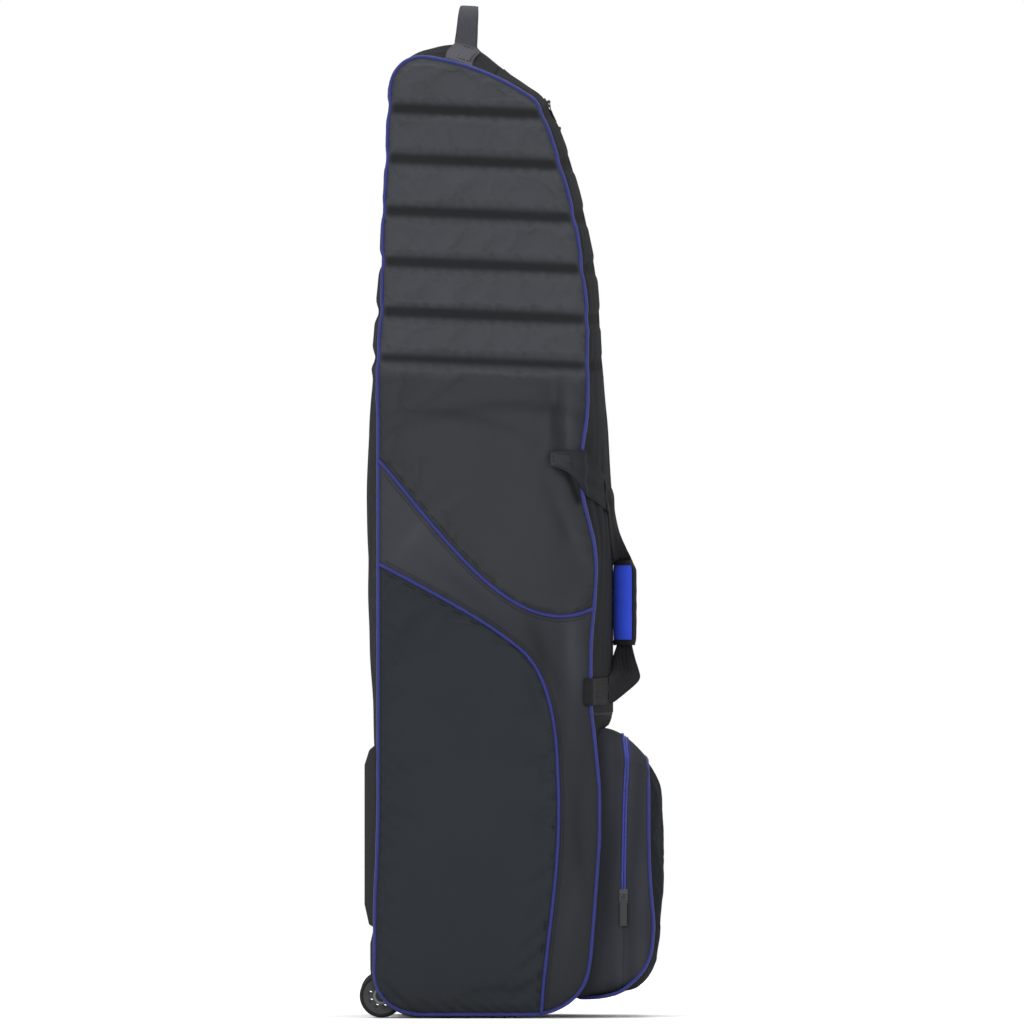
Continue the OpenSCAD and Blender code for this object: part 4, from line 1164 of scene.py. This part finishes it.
def pocket_front():
    """The front of the pocket: one crowned panel with a crease where the lid opens. Returns its edge."""
    rows, columns, spread = 130, 91, QUARTER * 0.86
    edge, centre = resample(POCKET_EDGE, rows), resample(POCKET_MIDDLE, rows)
    v = np.linspace(0, 1, rows + 1)[:, None]
    u = np.linspace(-1, 1, columns)
    half = POCKET_HALF - 36 * rounding(v / 0.17) - 34 * rounding((1 - v) / 0.10)
    crown = (1 - np.abs(u) ** 3.2)[:, None]
    x, z = np.moveaxis((1 - crown) * edge[:, None] + crown * centre[:, None], -1, 0)
    y = half * np.sin(u * spread) / math.sin(spread)
    outer = triple(x, y, z)
    n = unit(np.cross(np.gradient(outer, axis=1), np.gradient(outer, axis=0)))
    n *= np.sign(n[rows // 2, columns // 2, 0])
    inside = np.minimum((1 - np.abs(u)) * POCKET_HALF, 400 * np.minimum(v, 1 - v))
    fold = np.exp(-((z - LID_Z - 2) / 9) ** 2)
    run = along(edge)[:, None]
    relief = 0.8 * np.exp(-inside / 14) * smooth(inside / 5) * pucker(run + y, 24)
    relief += 1.6 * smooth(inside / 40) * rumple(y * 0.8, z * 0.8) - 1.5 * fold * smooth(inside / 20)
    outer = settled(outer + n * relief[..., None], 1 - smooth((inside - 4) / 10), 0.8, 0.015)
    # painted shade in the crease where the lid opens
    piece = shell("pocket_front", outer, outer - n * 2.4, triple(y, run, 1 - 0.1 * fold), pocket_face_shaded)
    bend_with_lid(piece)
    dress(piece, "dark_cloth", "pocket_lid", "pocket_tub")
    return np.vstack([outer[:, 0], outer[-1, 1:], outer[-2::-1, -1]])


def corner(y, z, radius, start, end):
    return [np.array([y, z]) + radius * heading(degrees) for degrees in np.linspace(start, end, 18)]


def pocket_outline():
    """The pocket's outline seen from the front, as y and z, from the bottom up the near side and over."""
    top, low, top_r, low_r = 387, 26.2, 40, 34
    near = np.vstack([
        [(low_r - POCKET_HALF, low)], corner(low_r - POCKET_HALF, low + low_r, low_r, 270, 180),
        corner(top_r - POCKET_HALF, top - top_r, top_r, 180, 90), [(0, top)],
    ])
    return resample(np.vstack([near, (near * [-1, 1])[::-1][1:]]), 330)


POCKET_LINE = pocket_outline()
POCKET_S = along(POCKET_LINE)
POCKET_Z = POCKET_LINE[:, 1]


def pocket_normals():
    """Unit vectors out of the pocket's outline, as y and z."""
    ty, tz = unit(np.gradient(POCKET_LINE, axis=0)).T
    out = np.c_[-tz, ty]
    return out * np.where((out * (POCKET_LINE - [0, 200])).sum(1) < 0, -1, 1)[:, None]


def pocket_strip(x0, x1, back_x, front_x, out):
    """A grid of the band between two rows of x, whose top slopes down to the front."""
    w = np.linspace(0, 1, 14)
    x = x0[:, None] * (1 - w) + x1[:, None] * w
    depth = np.clip((x - back_x[:, None]) / (front_x - back_x + 1e-6)[:, None], 0, 1)
    fall = 40.0 * smooth((POCKET_Z - 330) / 50)[:, None] * depth ** 2
    s = POCKET_S[:, None]
    bulge = 1.6 * np.sin(depth * math.pi) + 0.35 * pucker(s) * np.exp(-np.minimum(w, 1 - w) * 5)
    y, z = (POCKET_LINE[:, k:k + 1] + out[:, k:k + 1] * bulge for k in (0, 1))
    # painted light and shade in vertical streaks standing in for wrinkles, and random tone from rumple
    shade = 1 + 0.10 * np.sin(x / 4.6 + 1.4 * np.sin(s / 70)) + 0.05 * rumple(x * 2, s * 0.4)
    return triple(x, y, z - fall), triple(x, s, shade)


def pocket_band():
    """The band round the pocket that holds its zip. Returns its two edges at the zip, and their normals."""
    out = pocket_normals()
    front_x = np.interp(np.clip(POCKET_Z, 29, 344), POCKET_EDGE[:, 1], POCKET_EDGE[:, 0])
    toe_x, toe_z, _, _ = seam_at(np.linspace(S_TOE - 20, SEAM_LEN - 1, 400))
    toe = np.interp(POCKET_Z, toe_z, toe_x) - 1.5
    back_x = np.where(POCKET_Z < 150, np.minimum(POCKET_BACK, toe), POCKET_BACK)
    bow = np.interp(POCKET_Z, [185, 270, 313, 345, 372, 387], [0, 1.5, 2.8, 5.5, 3, 1])
    bow = np.mean([np.roll(bow, k) for k in range(-6, 7)], axis=0)
    split = np.where(POCKET_Z > POCKET_ZIP_FOOT - 4, POCKET_ZIP_X + bow,
                     np.minimum(POCKET_ZIP_X, front_x - 1))
    gap = 2.8 * (POCKET_Z > POCKET_ZIP_FOOT)
    back = pocket_strip(back_x, np.minimum(split - gap, front_x - 1), back_x, front_x, out)
    front = pocket_strip(split + gap, np.maximum(front_x, split + gap + 0.5), back_x, front_x, out)
    normal = triple(0, out[:, 0], out[:, 1])
    for label, node, (grid, weave) in (("back", "pocket_tub", back), ("front", "pocket_lid", front)):
        piece = shell(f"pocket_band_{label}", grid, grid - normal[:, None] * 2.2, weave, pocket_cloth)
        if label == "front":
            bend_with_lid(piece)
        else:
            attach(piece, "root")
        dress(piece, "dark_cloth", node)
    return back[0][:, -1], front[0][:, 0], normal


def pocket_zip(tub_edge, lid_edge, normal):
    """Both halves of the pocket's zip: blue tape and teeth, up the side and over the top."""
    run = POCKET_Z > POCKET_ZIP_FOOT - 1
    normal = normal[run]
    for label, edge, sign in (("tub", tub_edge[run], 1), ("lid", lid_edge[run], -1)):
        forward = np.array([sign * 1.0, 0, 0])
        tape = lofted(edge - 3.0 * forward, edge + 2.7 * forward, 4) - normal[:, None] * 0.5
        weave = triple(POCKET_S[run][:, None], tape[..., 0], 1)
        piece = shell(f"pocket_zip_tape_{label}", tape, tape - normal[:, None], weave, blue_tape)
        teeth, _ = zip_teeth(f"pocket_zip_teeth_{label}", edge + 0.7 * forward + normal * 0.2, normal,
                             np.tile(forward, (len(edge), 1)), sign, blue_teeth, tooth=2.2, reach=2.0)
        for item in (piece, teeth):
            if label == "lid":
                bend_with_lid(item)
            else:
                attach(item, "root")
        dress(piece, "blue_zip", f"pocket_zip_{label}")
        dress(teeth, "blue_zip")


def pocket():
    rim = pocket_front()
    cord = tube("pocket_piping", resample(rim, 300), 2.4, piping_cloth, up=(1, 0, 0.1))
    bend_with_lid(cord)
    dress(cord, "blue_piping", "pocket_tub_piping", "pocket_lid_piping")
    pocket_zip(*pocket_band())


# ---------------------------------------------------------------- hard parts
def tyres():
    """Solid tyres with two fine grooves round the tread."""
    turns = 96
    a = np.linspace(0, 2 * math.pi, turns, endpoint=False)[:, None]
    for side, _, _ in SIDES:
        low, high = node_box(f"tyre_{side}")
        centre, (r, h, _) = (low + high) / 2, (high - low) / 2
        tread = [(r - depth, y + dy) for y in (-4.5, 4.5)
                 for depth, dy in ((0, -1.3), (0.4, -1.0), (1.1, -0.7), (1.1, 0.7), (0.4, 1.0), (0, 1.3))]
        shoulder = [(r - 5, -h), (r - 2.6, -h), (r - 1.6, -h + 0.5), (r - 0.7, -h + 1.9), (r - 0.15, -h + 4),
                    (r, -h + 6)]
        radius, y = np.array([*shoulder, *tread, *((q, -p) for q, p in reversed(shoulder))]).T
        points = centre + triple(radius * np.cos(a), y, radius * np.sin(a))
        faces = grid_faces(turns, len(radius), wrap=True, loop=True)
        tyre = make_object(f"tyre_tread_{side}", points.reshape(-1, 3), faces, PLAIN, tyre_rubber)
        fasten(tyre, f"wheel_{side}", "tyre_rubber", f"tyre_{side}")


def hard_parts():
    """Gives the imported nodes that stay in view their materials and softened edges, bevel wide."""
    for names, material, bevel in (
        ("wheel_housing rail_near rail_far base_feet", black_plastic, 0.8),
        ("hub_near hub_far", hub_plastic, 0.4),
        ("rail_screws", steel, 0.25),
        ("axle_spacers bearings_near bearings_far", bearing_steel, 0.25),
        ("axle_bolts axle_nuts", black_oxide, 0.25),
        ("zip_slider_lower zip_slider_upper pocket_slider", black_metal, 0.3),
        ("pocket_pull", grey_metal, 0.3),
        ("base_board back_board", pressed_board, 0.4),
    ):
        for name in names.split():
            obj = frame["nodes"][name]
            obj.data.materials.clear()
            obj.data.materials.append(material)
            soft_edges = obj.modifiers.new("softened_edges", "BEVEL")
            soft_edges.width = bevel * MM
            soft_edges.segments = 2
            soft_edges.limit_method = "ANGLE"
            soft_edges.angle_limit = math.radians(35)
            soft_edges.harden_normals = True


# The main zip's pulls: distance down from the pin, height off the cloth and half width
PULL_DOWN = [0, 3, 6, 9, 13, 18, 23, 26]
PULL_OUT = [4.8, 4.0, 2.9, 2.4, 2.3, 2.3, 2.3, 2.3]
PULL_HALF = [1.6, 2.0, 2.4, 4.3, 4.6, 4.6, 4.4, 3.0]


def zip_pulls():
    """Metal pulls that hang from their pins and lie along the cloth, with a raised rim and a waist."""
    run = np.arange(S_SHOULDER - 120, S_TOP + 20, 0.25)
    down = np.linspace(0, PULL_DOWN[-1], 40)[:, None]
    w = np.linspace(-1, 1, 15)
    out = np.interp(down, PULL_DOWN, PULL_OUT)
    out[:4, 0] += np.array([1.2, 0.9, 0.5, 0.2])
    y = np.interp(down, PULL_DOWN, PULL_HALF) * w
    rim = 0.35 * smooth((np.abs(w) - 0.6) / 0.2) * smooth((down - 8) / 2)
    waist = -0.4 * np.exp(-((down - 16) / 3) ** 2) * (1 - np.abs(w) ** 4)
    thick = 0.75 * (1 - 0.5 * np.abs(w) ** 10) + rim + waist
    for name in ("zip_pull_lower", "zip_pull_upper"):
        pin = next(np.array(j["pos_m"]) / MM for j in frame["joints"] if j["name"] == f"{name}_swing")
        at = run[np.argmin(np.linalg.norm(skin(run, 0, PULL_OUT[0]) - pin, axis=1))]
        shift = (pin - skin(at, 0, PULL_OUT[0])) * (1 - smooth(down / 9))[..., None]
        faces = [skin(at - down, 0, out + sign * thick) for sign in (1, -1)]
        for face in faces:
            face[..., 1] = y
        piece = shell(f"{name}_tab", faces[0] + shift, faces[1] + shift, triple(at - down, y, 1), grey_metal)
        fasten(piece, name, "grey_metal", name)


def foam_linings():
    """The foam inside the upper sides, covered in lining and softly quilted."""
    for side, sign, _ in SIDES:
        low, high = node_box(f"foam_{side}")
        y_skin = low[1] if side == "near" else high[1]
        x, z = np.moveaxis(upper_grid(150, 50), -1, 0)
        middle_x, middle_z, narrower, shorter = -40, 900, 0.93, 0.965
        x = middle_x + (x - middle_x) * narrower
        z = np.maximum(middle_z + (z - middle_z) * shorter, low[2] + 1)
        inside = np.minimum(distance_to(x, z, outline) - 12, z - low[2])
        puff = smooth(inside / 14) * (0.86 + 0.14 * np.sin(z / 16) ** 2) + 0.03 * rumple(x, z)
        face = triple(x, y_skin - sign * (high[1] - low[1]) * np.clip(puff, 0.05, 1.05), z)
        piece = shell(f"foam_lining_{side}", face, triple(x, y_skin, z), triple(x, z, 1), lining,
                      pinched=True)
        fasten(piece, "root", "foam", f"foam_{side}")


# ---------------------------------------------------------------- studio
def placed(name, data, location, target):
    """Puts a lamp or a camera in the scene, turned to a point."""
    obj = bpy.data.objects.new(name, data)
    bpy.context.scene.collection.objects.link(obj)
    obj.location = location
    obj.rotation_mode = "QUATERNION"
    obj.rotation_quaternion = (Vector(target) - Vector(location)).to_track_quat("-Z", "Y")
    return obj


def camera():
    """A long lens from the near side, level with the middle of the bag; metres."""
    view_height, distance, x, z = 1.370, 36.0, 0.0017, 0.677
    lens = bpy.data.cameras.new("camera")
    lens.sensor_width = 36
    lens.lens = lens.sensor_width * distance / view_height
    lens.clip_end = 100
    bpy.context.scene.camera = placed("camera", lens, (x, -HALF_W * MM - distance, z), (x, 0, z))


def studio():
    """A pale floor, a bright even surround and three soft lamps."""
    reach, corners = 4500, 96
    turns = np.linspace(0, 2 * math.pi, corners, endpoint=False)
    rim = triple(reach * np.cos(turns), reach * np.sin(turns), -0.4)
    look = Surface("pale_floor")
    look.tint((0.88, 0.88, 0.88), look.scaled(look.noise(3, 3), 0.02, 0.99))
    look.set(Roughness=0.9)
    floor = make_object("pale_floor", rim, [range(corners)], material=look.material, even_normals=False)
    world = bpy.data.worlds.new("studio")
    world.use_nodes = True
    sky = world.node_tree.nodes["Background"].inputs
    sky[0].default_value = (1, 1, 1, 1)
    sky[1].default_value = 1.0
    bpy.context.scene.world = world
    for name, place, aim, size, power in (
        ("key", (-2.6, -4.2, 3.4), (0, 0, 0.7), 2.4, 170),
        ("fill", (3.4, -3.6, 1.8), (0, 0, 0.6), 2.6, 70),
        ("top", (0.3, 0.6, 4.6), (0, 0, 0.8), 3.0, 110),
    ):
        lamp = bpy.data.lights.new(name, "AREA")
        lamp.shape = "DISK"
        lamp.size = size
        lamp.energy = power
        placed(name, lamp, place, aim)


camera()
studio()
side_panels()
piping()
trims()
front_gusset()
main_zip()
gusset_end_bindings()
fixed_gusset()
seam_straps()
handle_straps()
grips()
top_loop()
pocket()
tyres()
hard_parts()
zip_pulls()
foam_linings()

bpy.context.scene.view_settings.view_transform = "Standard"
